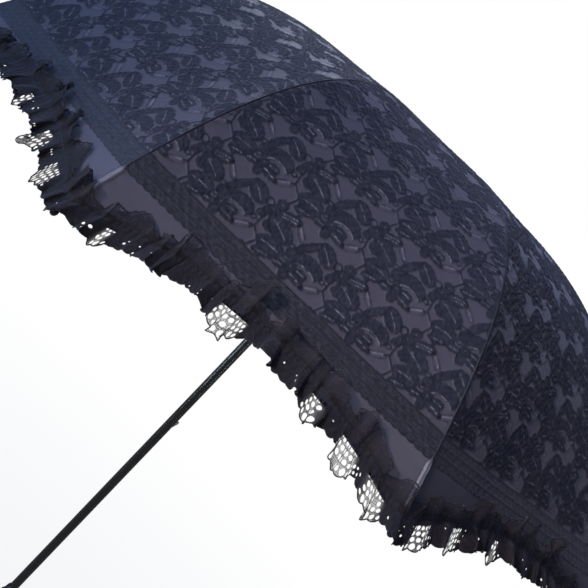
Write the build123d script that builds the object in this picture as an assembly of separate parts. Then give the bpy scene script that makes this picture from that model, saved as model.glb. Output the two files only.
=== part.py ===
from build123d import *
import math
import os

# Black lace parasol, stick type, open.  Millimetres, +Z up along the shaft.
# Origin: centre of the handle's lower end face, on the shaft axis.
# Gore 1 is centred on azimuth 0 (+X) and gore k on 45 (k - 1) degrees;
# rib k stands between gore k and gore k + 1.

# --- canopy frame ------------------------------------------------------------
N_RIBS = 8                 # ribs and gores
R_TIP = 460.0              # radius of the rib ends
Z_RIM = 555.0              # height of the rib ends
SLOPE_CROWN = -0.08        # rib slope at the crown, rad (negative rises outward)
SLOPE_TIP = 1.058          # rib slope at the tip, rad below horizontal
BEND_SHARE = 0.477         # share of the length where the rib bends most
CURVE_POINTS = 241

# --- shaft and pins ----------------------------------------------------------
SHAFT_R = 5.0
SHAFT_BORE_R = 4.2
SHAFT_SEAT_R = SHAFT_R + 0.03   # bore of parts fixed on the shaft
SHAFT_Z0 = 30.0            # lower end of the tube, inside the handle
SHAFT_ABOVE_HINGE = 8.2
FLUTE_R = 0.6
FLUTE_DEPTH = 0.35
STOP_PIN_R = 1.0
STOP_PIN_RISE = 10.0       # above the runner hinge ring
CROWN_PIN_R = 0.8
CROWN_PIN_DROP = 8.5       # below the crown hinge ring

# --- hinges at crown and runner ----------------------------------------------
HINGE_R = 8.0              # radius of the ring wires
WIRE_R = 0.5
WIRE_SEAT_R = WIRE_R + 0.03
EYE_R = 2.2                # rib and stretcher eyes
EYE_HOLE_R = 0.6           # runs on the ring wire
EYE_T = 1.3
SLOT_W = 1.7               # slot for an eye
SLOT_INNER_R = 5.65
SLOT_LEN = 10.0            # radial, runs out past the notch
NOTCH_R = 11.5             # outer radius of crown and runner notches

# --- ribs and stretchers -----------------------------------------------------
RIB_H = 3.0                # channel height
RIB_W = 2.4                # channel width
RIB_WALL = 0.5
RIB_NECK = 6.0             # from hinge to full-width channel
JOINT_SHARE = 0.36         # share of the rib length where the stretcher joins
JOINT_DROP = 2.5           # joint pivot below the rib centre line
JOINT_BOSS_R = 2.3
STRETCHER_L = 230.0        # pivot to pivot
STRETCHER_OFF = 2.3        # side offset of the bar from the rib plane
STRETCHER_T = 1.3
STRETCHER_H = 3.2
RIVET_R = 0.9
RIVET_HEAD_R = 1.7
RIVET_HEAD_T = 0.7

# --- runner and catches ------------------------------------------------------
RUNNER_BORE_R = SHAFT_R + 0.08  # running clearance
RUNNER_LEN = 55.0          # from the runner hinge ring to the sleeve's lower end
RUNNER_TRAVEL = 254.5
CATCH_GAP = 2.0            # open runner's lower end to the upper catch
SHUT_CATCH_DROP = 22.0     # lower catch below the hinge ring of the shut runner
NOSE_H = 13.0
NOSE_X = 7.2
LEAF_HALF_W = 0.95
KEYWAY_R = NOSE_X + 0.15
KEYWAY_W = 2.4
WINDOW_W = 4.0             # opening in sleeve and grip at azimuth 0

# --- handle and cap ----------------------------------------------------------
HANDLE_R = 11.0
HANDLE_TOP = 124.0
COLLAR_TOP = 136.0
CAP_H = 13.0               # top of the ferrule above the crown hinge ring

# --- cloth -------------------------------------------------------------------
SHEET_T = 0.5              # cloth with its lace overlay
SHEET_OFF = 2.2            # underside of the cloth above the rib centre line
SHEET_INNER_R = 7.0        # rib radius where the cloth starts
CROWN_CLEAR = 3.3          # underside of the cloth above the crown hinge ring
CROWN_FLAT_R = 14.0        # the cloth is held up to CROWN_CLEAR inside this radius
CROWN_BLEND_R = 60.0       # the lift fades out at this radius
HEM_RISE = 36.0            # the hem's middle stands this far up the gore
HEM_INSET = 2.0            # hem short of the rib ends
RIB_GAP = 0.5              # cloth edge to the rib plane
MID_GAP = 0.3              # cloth edge to the gore's middle plane
RUFFLE_DROP = 16.0         # ruffle hangs past the hem
RUFFLE_TOP = 32.0          # ruffle's upper edge above the hem
RUFFLE_T = 1.2
RUFFLE_OFF = 3.4           # ruffle's underside above the cloth
STRAP_T = 1.2
STRAP_OFF = 4.0            # strap above the ruffle
STRAP_W = 10.0
STRAP_SIDE = 6.0           # near edge of the strap from the gore's middle plane
CUTTER = 2000.0            # size of a cutter that spans the whole parasol


# --- rib curve ---------------------------------------------------------------
def rib_curve():
    """(radius, z, slope) along the rib from the axis to the tip: an elastic bow."""
    points = []
    r = z = 0.0
    previous = None
    for i in range(CURVE_POINTS):
        share = i / (CURVE_POINTS - 1)
        if share < BEND_SHARE:
            turned_share = share * share / BEND_SHARE
        else:
            turned_share = 1 - (1 - share) ** 2 / (1 - BEND_SHARE)
        slope = SLOPE_CROWN + (SLOPE_TIP - SLOPE_CROWN) * turned_share
        step = (math.cos(slope), -math.sin(slope))
        if previous is not None:
            r += (step[0] + previous[0]) / 2
            z += (step[1] + previous[1]) / 2
        previous = step
        points.append((r, z, slope))
    scale = R_TIP / r
    return [(pr * scale, (pz - z) * scale + Z_RIM, slope) for pr, pz, slope in points]


CURVE = rib_curve()
SEGMENTS = CURVE_POINTS - 1
RIB_LEN = math.dist(CURVE[0][:2], CURVE[1][:2]) * SEGMENTS


def curve_at(share):
    """(radius, z, slope) at a share of the rib length, held within its ends."""
    position = min(max(share, 0.0), 1.0) * SEGMENTS
    i = min(int(position), SEGMENTS - 1)
    part = position - i
    return tuple(a * (1 - part) + b * part for a, b in zip(CURVE[i], CURVE[i + 1]))


def share_at_radius(radius):
    for i in range(SEGMENTS):
        start, end = CURVE[i][0], CURVE[i + 1][0]
        if start <= radius <= end:
            return (i + (radius - start) / (end - start)) / SEGMENTS
    return 1.0


def offset_point(share, offset):
    """(radius, z) at a share of the rib, offset along the outward normal."""
    r, z, slope = curve_at(share)
    return (r + offset * math.sin(slope), z + offset * math.cos(slope))


# --- derived places ----------------------------------------------------------
PITCH = 360.0 / N_RIBS
RIB_AZIMUTHS = [PITCH * (k + 0.5) for k in range(N_RIBS)]
HALF_GORE = math.pi / N_RIBS                 # rad
HALF_CHORD = R_TIP * math.sin(HALF_GORE)     # gore's middle to the rib end
MID_SCALE = math.cos(HALF_GORE)              # gore's middle radius over rib radius

HINGE_SHARE = share_at_radius(HINGE_R)
HINGE_Z = curve_at(HINGE_SHARE)[1]
JOINT_R, JOINT_Z = offset_point(JOINT_SHARE, -JOINT_DROP)
RUNNER_Z = JOINT_Z - math.sqrt(STRETCHER_L ** 2 - (JOINT_R - HINGE_R) ** 2)
STRETCHER_ANGLE = math.degrees(math.atan2(JOINT_Z - RUNNER_Z, JOINT_R - HINGE_R))

SLEEVE_TOP_Z = RUNNER_Z - 4.5
SLEEVE_BOTTOM_Z = RUNNER_Z - RUNNER_LEN
UPPER_CATCH_Z = SLEEVE_BOTTOM_Z - CATCH_GAP
LOWER_CATCH_Z = RUNNER_Z - RUNNER_TRAVEL - SHUT_CATCH_DROP
STOP_PIN_Z = RUNNER_Z + STOP_PIN_RISE
CROWN_PIN_Z = HINGE_Z - CROWN_PIN_DROP
HEM_SHARE = 1.0 - HEM_INSET / RIB_LEN


# --- shape helpers -----------------------------------------------------------
def polygon(points, plane):
    with BuildSketch(plane) as sketch:
        with BuildLine():
            Polyline(*points, close=True)
        make_face()
    return sketch.sketch


def band(first, second, plane):
    """Face between two splines, closed by a line at each end."""
    with BuildSketch(plane) as sketch:
        with BuildLine():
            Spline(*first)
            Line(first[-1], second[-1])
            Spline(*second)
            Line(second[0], first[0])
        make_face()
    return sketch.sketch


def shares(start, end, count):
    return [start + (end - start) * i / (count - 1) for i in range(count)]


def rib_strip(start, end, low, high, count=15):
    """Face in the XZ plane between two offsets of the rib curve."""
    stations = shares(start, end, count)
    top = [offset_point(share, high) for share in stations]
    bottom = [offset_point(share, low) for share in stations]
    return band(top, bottom, Plane.XZ)


def cylinder_y(x, z, radius, length, y=0.0):
    """Cylinder with its axis along Y, centred at (x, y, z)."""
    return Pos(x, y, z) * Rot(90, 0, 0) * Cylinder(radius, length)


def turned(points, base=0.0):
    """Solid of revolution about Z from a closed (radius, z above base) outline."""
    return revolve(polygon([(r, base + z) for r, z in points], Plane.XZ), Axis.Z)


def save(name, shape):
    shape.label = name
    export_step(shape, f"parts/{name}.step")


# --- shaft, catches and pins -------------------------------------------------
def make_shaft():
    length = HINGE_Z + SHAFT_ABOVE_HINGE - SHAFT_Z0
    shaft = Pos(0, 0, SHAFT_Z0 + length / 2) * (
        Cylinder(SHAFT_R, length) - Cylinder(SHAFT_BORE_R, length + 2)
    )
    # shallow lengthwise flutes from above the collar to below the crown
    flute_z0, flute_z1 = COLLAR_TOP + 3.0, HINGE_Z - 20.0
    axis_r = SHAFT_R + FLUTE_R - FLUTE_DEPTH
    for azimuth in RIB_AZIMUTHS:
        angle = math.radians(azimuth)
        shaft -= Pos(
            axis_r * math.cos(angle), axis_r * math.sin(angle), (flute_z0 + flute_z1) / 2
        ) * Cylinder(FLUTE_R, flute_z1 - flute_z0)
    # slots for the catch noses
    for top in (UPPER_CATCH_Z, LOWER_CATCH_Z):
        shaft -= Pos(SHAFT_R, 0, top - NOSE_H / 2) * Box(4.0, 2.3, NOSE_H + 0.6)
    shaft -= cylinder_y(0, STOP_PIN_Z, STOP_PIN_R, 14)
    shaft -= cylinder_y(0, CROWN_PIN_Z, CROWN_PIN_R, 16)
    return shaft


def make_catch(top):
    """Leaf spring inside the tube; its nose stands out at azimuth 0."""
    leaf_outer, leaf_inner = 3.95, 3.35
    leaf_top, leaf_bottom = 8.0, -NOSE_H - 34.0
    # x, z above the catch top
    outline = [
        (leaf_inner, leaf_top), (leaf_outer, leaf_top), (leaf_outer, -0.2),
        (NOSE_X, -0.2), (NOSE_X, -2.6), (leaf_outer, -NOSE_H + 0.2),
        (leaf_outer, leaf_bottom), (leaf_inner, leaf_bottom),
    ]
    face = polygon([(x, top + z) for x, z in outline], Plane.XZ)
    return extrude(face, amount=LEAF_HALF_W, both=True)


# --- crown -------------------------------------------------------------------
def cut_hinge(body, hinge_z, slot_z, slot_h):
    """Cut an eye slot at each rib azimuth and the seat of the ring wire."""
    for azimuth in RIB_AZIMUTHS:
        body -= Rot(0, 0, azimuth) * Pos(SLOT_INNER_R + SLOT_LEN / 2, 0, slot_z) * Box(
            SLOT_LEN, SLOT_W, slot_h
        )
    return body - Pos(0, 0, hinge_z) * Torus(HINGE_R, WIRE_SEAT_R)


def make_crown_notch():
    crown = Pos(0, 0, HINGE_Z) * Cylinder(NOTCH_R, 6.4)
    crown += Pos(0, 0, HINGE_Z - 8.2) * Cylinder(7.0, 10.2)
    crown -= Pos(0, 0, HINGE_Z - 5) * Cylinder(SHAFT_SEAT_R, 40)
    crown = cut_hinge(crown, HINGE_Z, slot_z=HINGE_Z - 0.45, slot_h=5.7)
    return crown - cylinder_y(0, CROWN_PIN_Z, CROWN_PIN_R, 30)


def make_ring_wire(z):
    return Pos(0, 0, z) * Torus(HINGE_R, WIRE_R)


def make_rosette():
    bore_r = SHAFT_R + 0.05
    return turned([
        (bore_r, 4.5), (15.0, 4.5), (16.0, 4.9), (15.4, 5.3), (bore_r, 5.6),
    ], base=HINGE_Z)


def make_ferrule():
    """Low domed cap over the top of the shaft."""
    return turned([
        (0, 8.4), (SHAFT_SEAT_R, 8.4), (SHAFT_SEAT_R, 5.8),
        (9.5, 5.8), (9.9, 6.2), (9.6, 6.8), (8.0, 7.0),
        (8.0, 10.6), (7.4, 11.6), (6.0, 12.4), (3.6, 12.9), (0, CAP_H),
    ], base=HINGE_Z)


# --- handle ------------------------------------------------------------------
def make_handle():
    return turned([
        (0, 14.0), (0, 29.8), (SHAFT_SEAT_R, 29.8), (SHAFT_SEAT_R, HANDLE_TOP),
        (7.6, HANDLE_TOP), (8.2, 121.0), (8.4, 112.0), (8.0, 104.0), (8.6, 97.0),
        (9.9, 88.0), (10.7, 80.0), (HANDLE_R, 74.0), (HANDLE_R, 4.6), (6.1, 4.6), (6.1, 14.0),
    ])


def make_end_cap():
    """Disc under the handle with a spigot up into it."""
    return turned([
        (0, 0), (9.4, 0), (10.3, 0.5), (10.8, 1.6), (10.8, 3.6), (10.4, 4.5), (6.0, 4.5),
        (6.0, 13.9), (0, 13.9),
    ])


def make_collar():
    bottom = HANDLE_TOP + 0.05
    return turned([
        (SHAFT_SEAT_R, bottom), (8.6, bottom), (9.0, HANDLE_TOP + 0.8),
        (9.0, HANDLE_TOP + 2.2), (8.3, HANDLE_TOP + 3.0), (7.6, HANDLE_TOP + 4.2),
        (6.6, COLLAR_TOP - 1.6), (6.0, COLLAR_TOP), (SHAFT_SEAT_R, COLLAR_TOP),
    ])


# --- runner ------------------------------------------------------------------
def keyway():
    """Cutter at azimuth 0 that clears the catch noses."""
    return Pos(KEYWAY_R / 2, 0, RUNNER_Z - 30) * Box(KEYWAY_R, KEYWAY_W, 200)


def make_runner_notch():
    notch = Pos(0, 0, RUNNER_Z - 0.6) * Cylinder(NOTCH_R, 7.6)
    notch -= Pos(0, 0, RUNNER_Z) * Cylinder(RUNNER_BORE_R, 40)
    notch = cut_hinge(notch, RUNNER_Z, slot_z=RUNNER_Z + 2.2, slot_h=10.0)
    return notch - keyway()


def make_sleeve():
    top, bottom = SLEEVE_TOP_Z, SLEEVE_BOTTOM_Z
    sleeve = turned([
        (RUNNER_BORE_R, top), (9.0, top), (9.0, top - 3), (8.6, top - 5),
        (8.6, bottom + 16), (9.4, bottom + 14), (9.4, bottom + 1), (8.8, bottom),
        (RUNNER_BORE_R, bottom),
    ])
    sleeve -= keyway()
    # thumb window over the lower catch when the parasol is shut
    window_z = RUNNER_Z - SHUT_CATCH_DROP - NOSE_H / 2
    return sleeve - Pos(9.5, 0, window_z) * Box(5, WINDOW_W, NOSE_H + 6)


def make_grip():
    """Sheath around the sleeve, beaded at both ends."""
    grip = turned([
        (8.65, 34.0), (10.4, 34.0), (11.4, 32.6), (11.4, 31.0), (10.4, 29.6),
        (10.4, 20.4), (11.4, 19.0), (11.4, 17.6), (10.4, 16.4), (8.65, 16.4),
    ], base=SLEEVE_BOTTOM_Z)
    return grip - Pos(10, 0, SLEEVE_BOTTOM_Z + 25) * Box(8, WINDOW_W, 30)


# --- ribs, tips and stretchers, built in the XZ plane ------------------------
def make_rib():
    half_h, half_w = RIB_H / 2, RIB_W / 2
    wide = HINGE_SHARE + RIB_NECK / RIB_LEN
    rib = extrude(rib_strip(wide, 1.0, -half_h, half_h), amount=half_w, both=True)
    # hollow, open downward, solid at both ends
    rib -= extrude(
        rib_strip(wide + 5 / RIB_LEN, 1.0 - 12 / RIB_LEN, -half_h - 1.0, half_h - RIB_WALL),
        amount=half_w - RIB_WALL, both=True,
    )
    # thin neck and eye on the crown ring wire
    rib += extrude(
        rib_strip(HINGE_SHARE, wide + 2 / RIB_LEN, -half_h + 0.2, half_h - 0.2, count=4),
        amount=EYE_T / 2, both=True,
    )
    rib += cylinder_y(HINGE_R, HINGE_Z, EYE_R, EYE_T)
    rib -= cylinder_y(HINGE_R, HINGE_Z, EYE_HOLE_R, 6)
    # joint block where the stretcher's rivet ends
    block = 5 / RIB_LEN
    rib += extrude(
        rib_strip(JOINT_SHARE - block, JOINT_SHARE + block, -half_h - 0.3, 0.5, count=5),
        amount=half_w, both=True,
    )
    return rib + cylinder_y(JOINT_R, JOINT_Z, JOINT_BOSS_R, RIB_W)


def make_rib_tip():
    """Beaded tip, hollowed to take the rib end."""
    r, z, slope = curve_at(1.0)
    plane = Plane(
        origin=(r, 0, z), x_dir=(0, 1, 0), z_dir=(math.cos(slope), 0, -math.sin(slope))
    )
    # radius, distance outward from the rib end
    tip = plane.location * turned([
        (0, -7.0), (1.9, -7.0), (2.12, -6.5), (2.12, 0.2), (2.7, 0.8), (3.3, 2.2),
        (3.3, 4.2), (2.7, 5.8), (1.5, 6.9), (0, 7.2),
    ])
    fit = 0.02
    socket = rib_strip(0.95, 1.0, -RIB_H / 2 - fit, RIB_H / 2 + fit, count=6)
    return tip - extrude(socket, amount=RIB_W / 2 + fit, both=True)


STRETCHER_TILT = Pos(HINGE_R, 0, RUNNER_Z) * Rot(0, -STRETCHER_ANGLE, 0)


def make_stretcher_bar():
    """Flat bar on edge, jogged to one side of the rib plane."""
    half_t, side = STRETCHER_T / 2, STRETCHER_OFF
    plan = polygon([
        (0, -half_t), (8.5, -half_t), (19.5, side - half_t), (STRETCHER_L, side - half_t),
        (STRETCHER_L, side + half_t), (19.0, side + half_t), (8.0, half_t), (0, half_t),
    ], Plane.XY)
    bar = extrude(plan, amount=STRETCHER_H / 2, both=True)
    bar += cylinder_y(0, 0, EYE_R, STRETCHER_T)
    bar += cylinder_y(STRETCHER_L, 0, EYE_R, STRETCHER_T, y=side)
    bar -= cylinder_y(0, 0, EYE_HOLE_R, 6)
    bar -= cylinder_y(STRETCHER_L, 0, RIVET_R, 3, y=side)
    return STRETCHER_TILT * bar


def make_rivet():
    """Rivet through the outer eye; it stops 0.1 short of the rib."""
    start = RIB_W / 2 + 0.1
    bar_face = STRETCHER_OFF + STRETCHER_T / 2
    end = bar_face + 0.2
    rivet = cylinder_y(STRETCHER_L, 0, RIVET_R, end - start, y=(end + start) / 2)
    rivet += cylinder_y(STRETCHER_L, 0, RIVET_HEAD_R, RIVET_HEAD_T, y=bar_face + 0.37)
    return STRETCHER_TILT * rivet


# --- cloth -------------------------------------------------------------------
# Each gore is made of horizontal straight lines between two ribs, so its section
# in the gore's middle plane is the rib curve with the radius times MID_SCALE.
def mid_slope(slope):
    return math.atan2(math.sin(slope), math.cos(slope) * MID_SCALE)


def sheet_point(share, offset):
    """(x, z) in the gore's middle plane, lifted clear of the crown."""
    r, z, slope = curve_at(share)
    slope = mid_slope(slope)
    x, z = r * MID_SCALE + offset * math.sin(slope), z + offset * math.cos(slope)
    floor = HINGE_Z + CROWN_CLEAR
    if r < CROWN_FLAT_R:
        z = max(z, floor + (offset - SHEET_OFF))
    elif r < CROWN_BLEND_R:
        lift = floor - (curve_at(share_at_radius(CROWN_FLAT_R))[1] + SHEET_OFF)
        z += max(0.0, lift) * (CROWN_BLEND_R - r) / (CROWN_BLEND_R - CROWN_FLAT_R)
    return x, z


def sheet_section(low, thickness, start, end, tail=0.0, count=22):
    """Face in the XZ plane; tail runs it on straight past its outer end."""
    stations = shares(start, end, count)
    top = [sheet_point(share, low + thickness) for share in stations]
    bottom = [sheet_point(share, low) for share in stations]
    if tail:
        slope = mid_slope(curve_at(end)[2])
        for edge in (top, bottom):
            x, z = edge[-1]
            edge.append((x + tail * math.cos(slope), z - tail * math.sin(slope)))
    return band(top, bottom, Plane.XZ)


def mid_radius(share):
    """Radius of the gore's middle at a share; past 1 it runs on straight."""
    r, _, slope = curve_at(share)
    return r * MID_SCALE + max(0.0, share - 1.0) * RIB_LEN * math.cos(mid_slope(slope))


def hem_line(shift, count=9):
    """Plan (x, y) of the hem from middle to past the rib, moved shift down the cloth."""
    points = []
    for y in shares(MID_GAP, HALF_CHORD + 25.0, count):
        rise = HEM_RISE * max(0.0, 1.0 - (y / HALF_CHORD) ** 2)
        points.append((mid_radius(HEM_SHARE + (shift - rise) / RIB_LEN), y))
    return points


def half_gore(section, hem, upper_edge=None):
    """The +Y half of a gore whose middle plane is the XZ plane."""
    solid = extrude(section, amount=-(HALF_CHORD + 40))
    apex = RIB_GAP / math.sin(HALF_GORE)
    reach = R_TIP + 60.0
    wedge = polygon([
        (apex + MID_GAP / math.tan(HALF_GORE), MID_GAP), (reach, MID_GAP),
        (reach, (reach - apex) * math.tan(HALF_GORE)),
    ], Plane.XY)
    if upper_edge is None:
        back_x = -20.0
        with BuildSketch(Plane.XY) as sketch:
            with BuildLine():
                Spline(*hem)
                Polyline(hem[-1], (back_x, hem[-1][1]), (back_x, hem[0][1]), hem[0])
            make_face()
        plan = sketch.sketch
    else:
        plan = band(hem, upper_edge, Plane.XY)
    return (solid & extrude(wedge, amount=CUTTER)) & extrude(plan, amount=CUTTER)


RUFFLE_LOW = SHEET_OFF + SHEET_T + RUFFLE_OFF


def make_cloth():
    section = sheet_section(SHEET_OFF, SHEET_T, share_at_radius(SHEET_INNER_R), HEM_SHARE)
    return half_gore(section, hem_line(0.0))


def make_ruffle():
    section = sheet_section(RUFFLE_LOW, RUFFLE_T, 0.84, 1.0, tail=40.0, count=8)
    return half_gore(section, hem_line(RUFFLE_DROP), hem_line(-RUFFLE_TOP))


def make_strap():
    """Closing strap on the outside of gore 3, which faces +Y."""
    low = RUFFLE_LOW + RUFFLE_T + STRAP_OFF
    section = sheet_section(low, STRAP_T, 0.85, HEM_SHARE, tail=12.0, count=6)
    strap = extrude(section, amount=-(STRAP_SIDE + STRAP_W))
    strap = strap & (Pos(0, STRAP_SIDE + STRAP_W / 2, 500) * Box(CUTTER, STRAP_W, CUTTER))
    return Rot(0, 0, 2 * PITCH) * strap


# --- write the parts ---------------------------------------------------------
os.makedirs("parts", exist_ok=True)

save("shaft_tube", make_shaft())
save("upper_catch_spring", make_catch(UPPER_CATCH_Z))
save("lower_catch_spring", make_catch(LOWER_CATCH_Z))
save("runner_stop_pin", cylinder_y(0, STOP_PIN_Z, STOP_PIN_R, 13.4))
save("crown_pin", cylinder_y(0, CROWN_PIN_Z, CROWN_PIN_R, 13.8))
save("crown_notch", make_crown_notch())
save("crown_ring_wire", make_ring_wire(HINGE_Z))
save("crown_rosette", make_rosette())
save("ferrule", make_ferrule())
save("handle_grip", make_handle())
save("handle_end_cap", make_end_cap())
save("handle_collar", make_collar())
save("runner_notch", make_runner_notch())
save("runner_ring_wire", make_ring_wire(RUNNER_Z))
save("runner_sleeve", make_sleeve())
save("runner_grip", make_grip())

rib, tip = make_rib(), make_rib_tip()
bar, rivet = make_stretcher_bar(), make_rivet()
for k, azimuth in enumerate(RIB_AZIMUTHS, start=1):
    turn = Rot(0, 0, azimuth)
    save(f"rib_{k}", turn * rib)
    save(f"rib_tip_{k}", turn * tip)
    save(f"stretcher_{k}", Compound(children=[turn * bar, turn * rivet]))

# half a of gore k is beside rib k - 1, half b beside rib k
half_b = [make_cloth(), make_ruffle()]
half_a = [mirror(layer, Plane.XZ) for layer in half_b]
for k in range(1, N_RIBS + 1):
    turn = Rot(0, 0, PITCH * (k - 1))
    for side, layers in (("b", half_b), ("a", half_a)):
        save(f"gore_{k}{side}", Compound(children=[turn * layer for layer in layers]))

save("closing_strap", make_strap())
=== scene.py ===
# Open lace parasol.  The shaft stands on the z axis with the crown on top; eight gores lie round
# it, gore 1 centred on +x and the others following anticlockwise at 45 degrees, with rib k
# between gore k and the next one.  Lengths are millimetres until mesh() makes them metres;
# the stage, lights and camera are in metres.
import math
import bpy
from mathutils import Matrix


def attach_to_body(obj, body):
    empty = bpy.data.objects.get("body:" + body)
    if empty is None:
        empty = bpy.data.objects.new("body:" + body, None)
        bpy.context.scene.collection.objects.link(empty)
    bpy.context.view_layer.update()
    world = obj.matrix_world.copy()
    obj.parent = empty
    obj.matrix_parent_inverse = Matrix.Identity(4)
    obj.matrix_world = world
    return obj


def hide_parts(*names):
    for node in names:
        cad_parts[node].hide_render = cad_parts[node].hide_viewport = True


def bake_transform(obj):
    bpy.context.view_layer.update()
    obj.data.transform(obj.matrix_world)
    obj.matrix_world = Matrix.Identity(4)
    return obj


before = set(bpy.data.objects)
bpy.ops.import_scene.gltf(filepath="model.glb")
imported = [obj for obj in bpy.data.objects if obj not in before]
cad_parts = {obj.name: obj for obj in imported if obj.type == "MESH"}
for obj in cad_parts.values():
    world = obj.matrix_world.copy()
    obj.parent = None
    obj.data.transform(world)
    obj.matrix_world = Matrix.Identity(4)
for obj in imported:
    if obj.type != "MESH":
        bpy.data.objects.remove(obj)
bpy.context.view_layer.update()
from types import SimpleNamespace

import bpy
import numpy as np
from mathutils import Matrix, Vector

scene = bpy.context.scene
GORES = range(1, 9)
HALVES = [(gore, side) for gore in GORES for side in (-1, 1)]

# ---------------------------------------------------------------- rib curve and gore surface
RIB_R, RIM_Z = 460.0, 555.0            # radius and height of the rib tips
SLOPE_START, SLOPE_END = -0.08, 1.058  # downward slope at the apex and at the tip, radians
BEND_SHARE = 0.477                     # share of the rib where it bends most
HINGE_R = 8.0
SHEET_RISE = 2.2                       # underside of the cloth above the rib line
FLAT_R, BLEND_R = 14.0, 60.0           # flat top under the crown and the end of its blend
HALF_ANGLE = math.pi / 8
COS_H, SIN_H, TAN_H = math.cos(HALF_ANGLE), math.sin(HALF_ANGLE), math.tan(HALF_ANGLE)

SHARES = np.linspace(0, 1, 1441)
turned = np.where(SHARES < BEND_SHARE, SHARES * SHARES / BEND_SHARE,
                  1 - (1 - SHARES) ** 2 / (1 - BEND_SHARE))
RIB_SLOPES = SLOPE_START + (SLOPE_END - SLOPE_START) * turned


def running_sum(rate):
    return np.concatenate([[0], np.cumsum((rate[1:] + rate[:-1]) / 2)])


unit_r, unit_z = running_sum(np.cos(RIB_SLOPES)), running_sum(-np.sin(RIB_SLOPES))
rib_scale = RIB_R / unit_r[-1]
RIB_RADII = unit_r * rib_scale
RIB_HEIGHTS = (unit_z - unit_z[-1]) * rib_scale + RIM_Z
HINGE_Z = float(np.interp(HINGE_R, RIB_RADII, RIB_HEIGHTS))
# Arc length along the middle line of a gore.
ARCS = np.concatenate([[0], np.cumsum(np.hypot(np.diff(RIB_RADII * COS_H), np.diff(RIB_HEIGHTS)))])
ARC_END = float(ARCS[-1])
FLAT_Z = HINGE_Z + 3.3
CROWN_LIFT = max(0.0, FLAT_Z - (float(np.interp(FLAT_R, RIB_RADII, RIB_HEIGHTS)) + SHEET_RISE))
CHORD = math.atan2(HINGE_Z - RIM_Z, RIB_R - HINGE_R)

HEM_HALF = RIB_R * SIN_H               # half width of a gore at the hem
HEM_LENGTH = 16 * HEM_HALF
HEM_ARC, HEM_CURVE = 542.0, 36.0       # hem at the ribs, and how much higher it is mid gore


def section(arc, rise):
    """(x, z, slope) in the gore's middle plane at an arc length, rise above the rib line."""
    arc, rise = np.asarray(arc, float), np.asarray(rise, float)
    r, z, slope = (np.interp(arc, ARCS, curve) for curve in (RIB_RADII, RIB_HEIGHTS, RIB_SLOPES))
    slope = np.arctan2(np.sin(slope), np.cos(slope) * COS_H)
    past = np.maximum(0.0, arc - ARC_END)
    x = r * COS_H + past * np.cos(slope) + rise * np.sin(slope)
    z = z - past * np.sin(slope) + rise * np.cos(slope)
    flat = FLAT_Z + (rise - SHEET_RISE)
    blended = z + CROWN_LIFT * (BLEND_R - r) / (BLEND_R - FLAT_R)
    z = np.where(r < FLAT_R, np.maximum(z, flat), np.where(r < BLEND_R, blended, z))
    return x, z, slope


def arc_at_radius(radius):
    return float(np.interp(radius * COS_H, RIB_RADII * COS_H, ARCS))


def hem_arc(off):
    return HEM_ARC - HEM_CURVE * (1.0 - np.minimum(1.0, np.abs(off) / HEM_HALF) ** 2)


def hem_place(gore, side, off):
    """Distance round the whole hem of a point off the middle of a gore."""
    return (gore - 1) * 2 * HEM_HALF + side * off


SHUT_START, SHUT_GROWTH = 8.0, 18.0 / 517.0  # shut cloth: distance at the hinge, growth per mm
FULL_FOLD = math.radians(76.0)


def to_middle(x, off, z):
    """Share of the fold that brings a gore point to its middle plane when the frame is shut."""
    rib_x, rib_y = x * COS_H + off * SIN_H, x * SIN_H - off * COS_H
    above = (rib_x - HINGE_R) * math.sin(CHORD) + (z - HINGE_Z) * math.cos(CHORD)
    along = (rib_x - HINGE_R) * math.cos(CHORD) - (z - HINGE_Z) * math.sin(CHORD)
    reach = np.hypot(above, rib_y)
    angle = np.arctan2(rib_y, above)
    shut_x = SHUT_START + SHUT_GROWTH * along
    shut = HALF_ANGLE + np.arcsin(np.clip(shut_x * SIN_H / np.maximum(reach, 1e-6), -1, 1))
    return np.clip((angle - shut) / FULL_FOLD, 0.0, 1.0)


HELD = 4.0  # strip beside the rib that doesn't fold


def fold_weight(x, z, from_seam, half, arc):
    """Share of the gore's fold angle for a point at a distance from the seam."""
    full = to_middle(x, 0.0, z)
    part = np.clip((from_seam - HELD) / np.maximum(half - HELD, 1e-6), 0.0, 1.0)
    power = np.interp(arc, [0, 300, 440, 545], [1.0, 1.0, 0.75, 0.5])
    hump = 4.0 * part * (1.0 - part)
    # Rounded maximum of an even fold and the fold that just reaches the middle plane.
    even = full * part ** power
    reach = to_middle(x, np.maximum(half - from_seam, 0.0), z) + 0.02 * hump
    weight = 0.5 * (even + reach + np.sqrt((even - reach) ** 2 + (0.03 * hump) ** 2))
    return np.where(from_seam <= HELD, 0.0, np.clip(weight, 0.0, 1.0))


def to_world(gore, side, x, off, z):
    angle = math.radians(45.0 * (gore - 1))
    y = side * off
    return np.stack([x * math.cos(angle) - y * math.sin(angle),
                     x * math.sin(angle) + y * math.cos(angle), z], -1)


# ---------------------------------------------------------------- mesh helpers
TURNED = [0, 3, 2, 1]  # reorders a quad to face the other way, keeping its first corner


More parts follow.
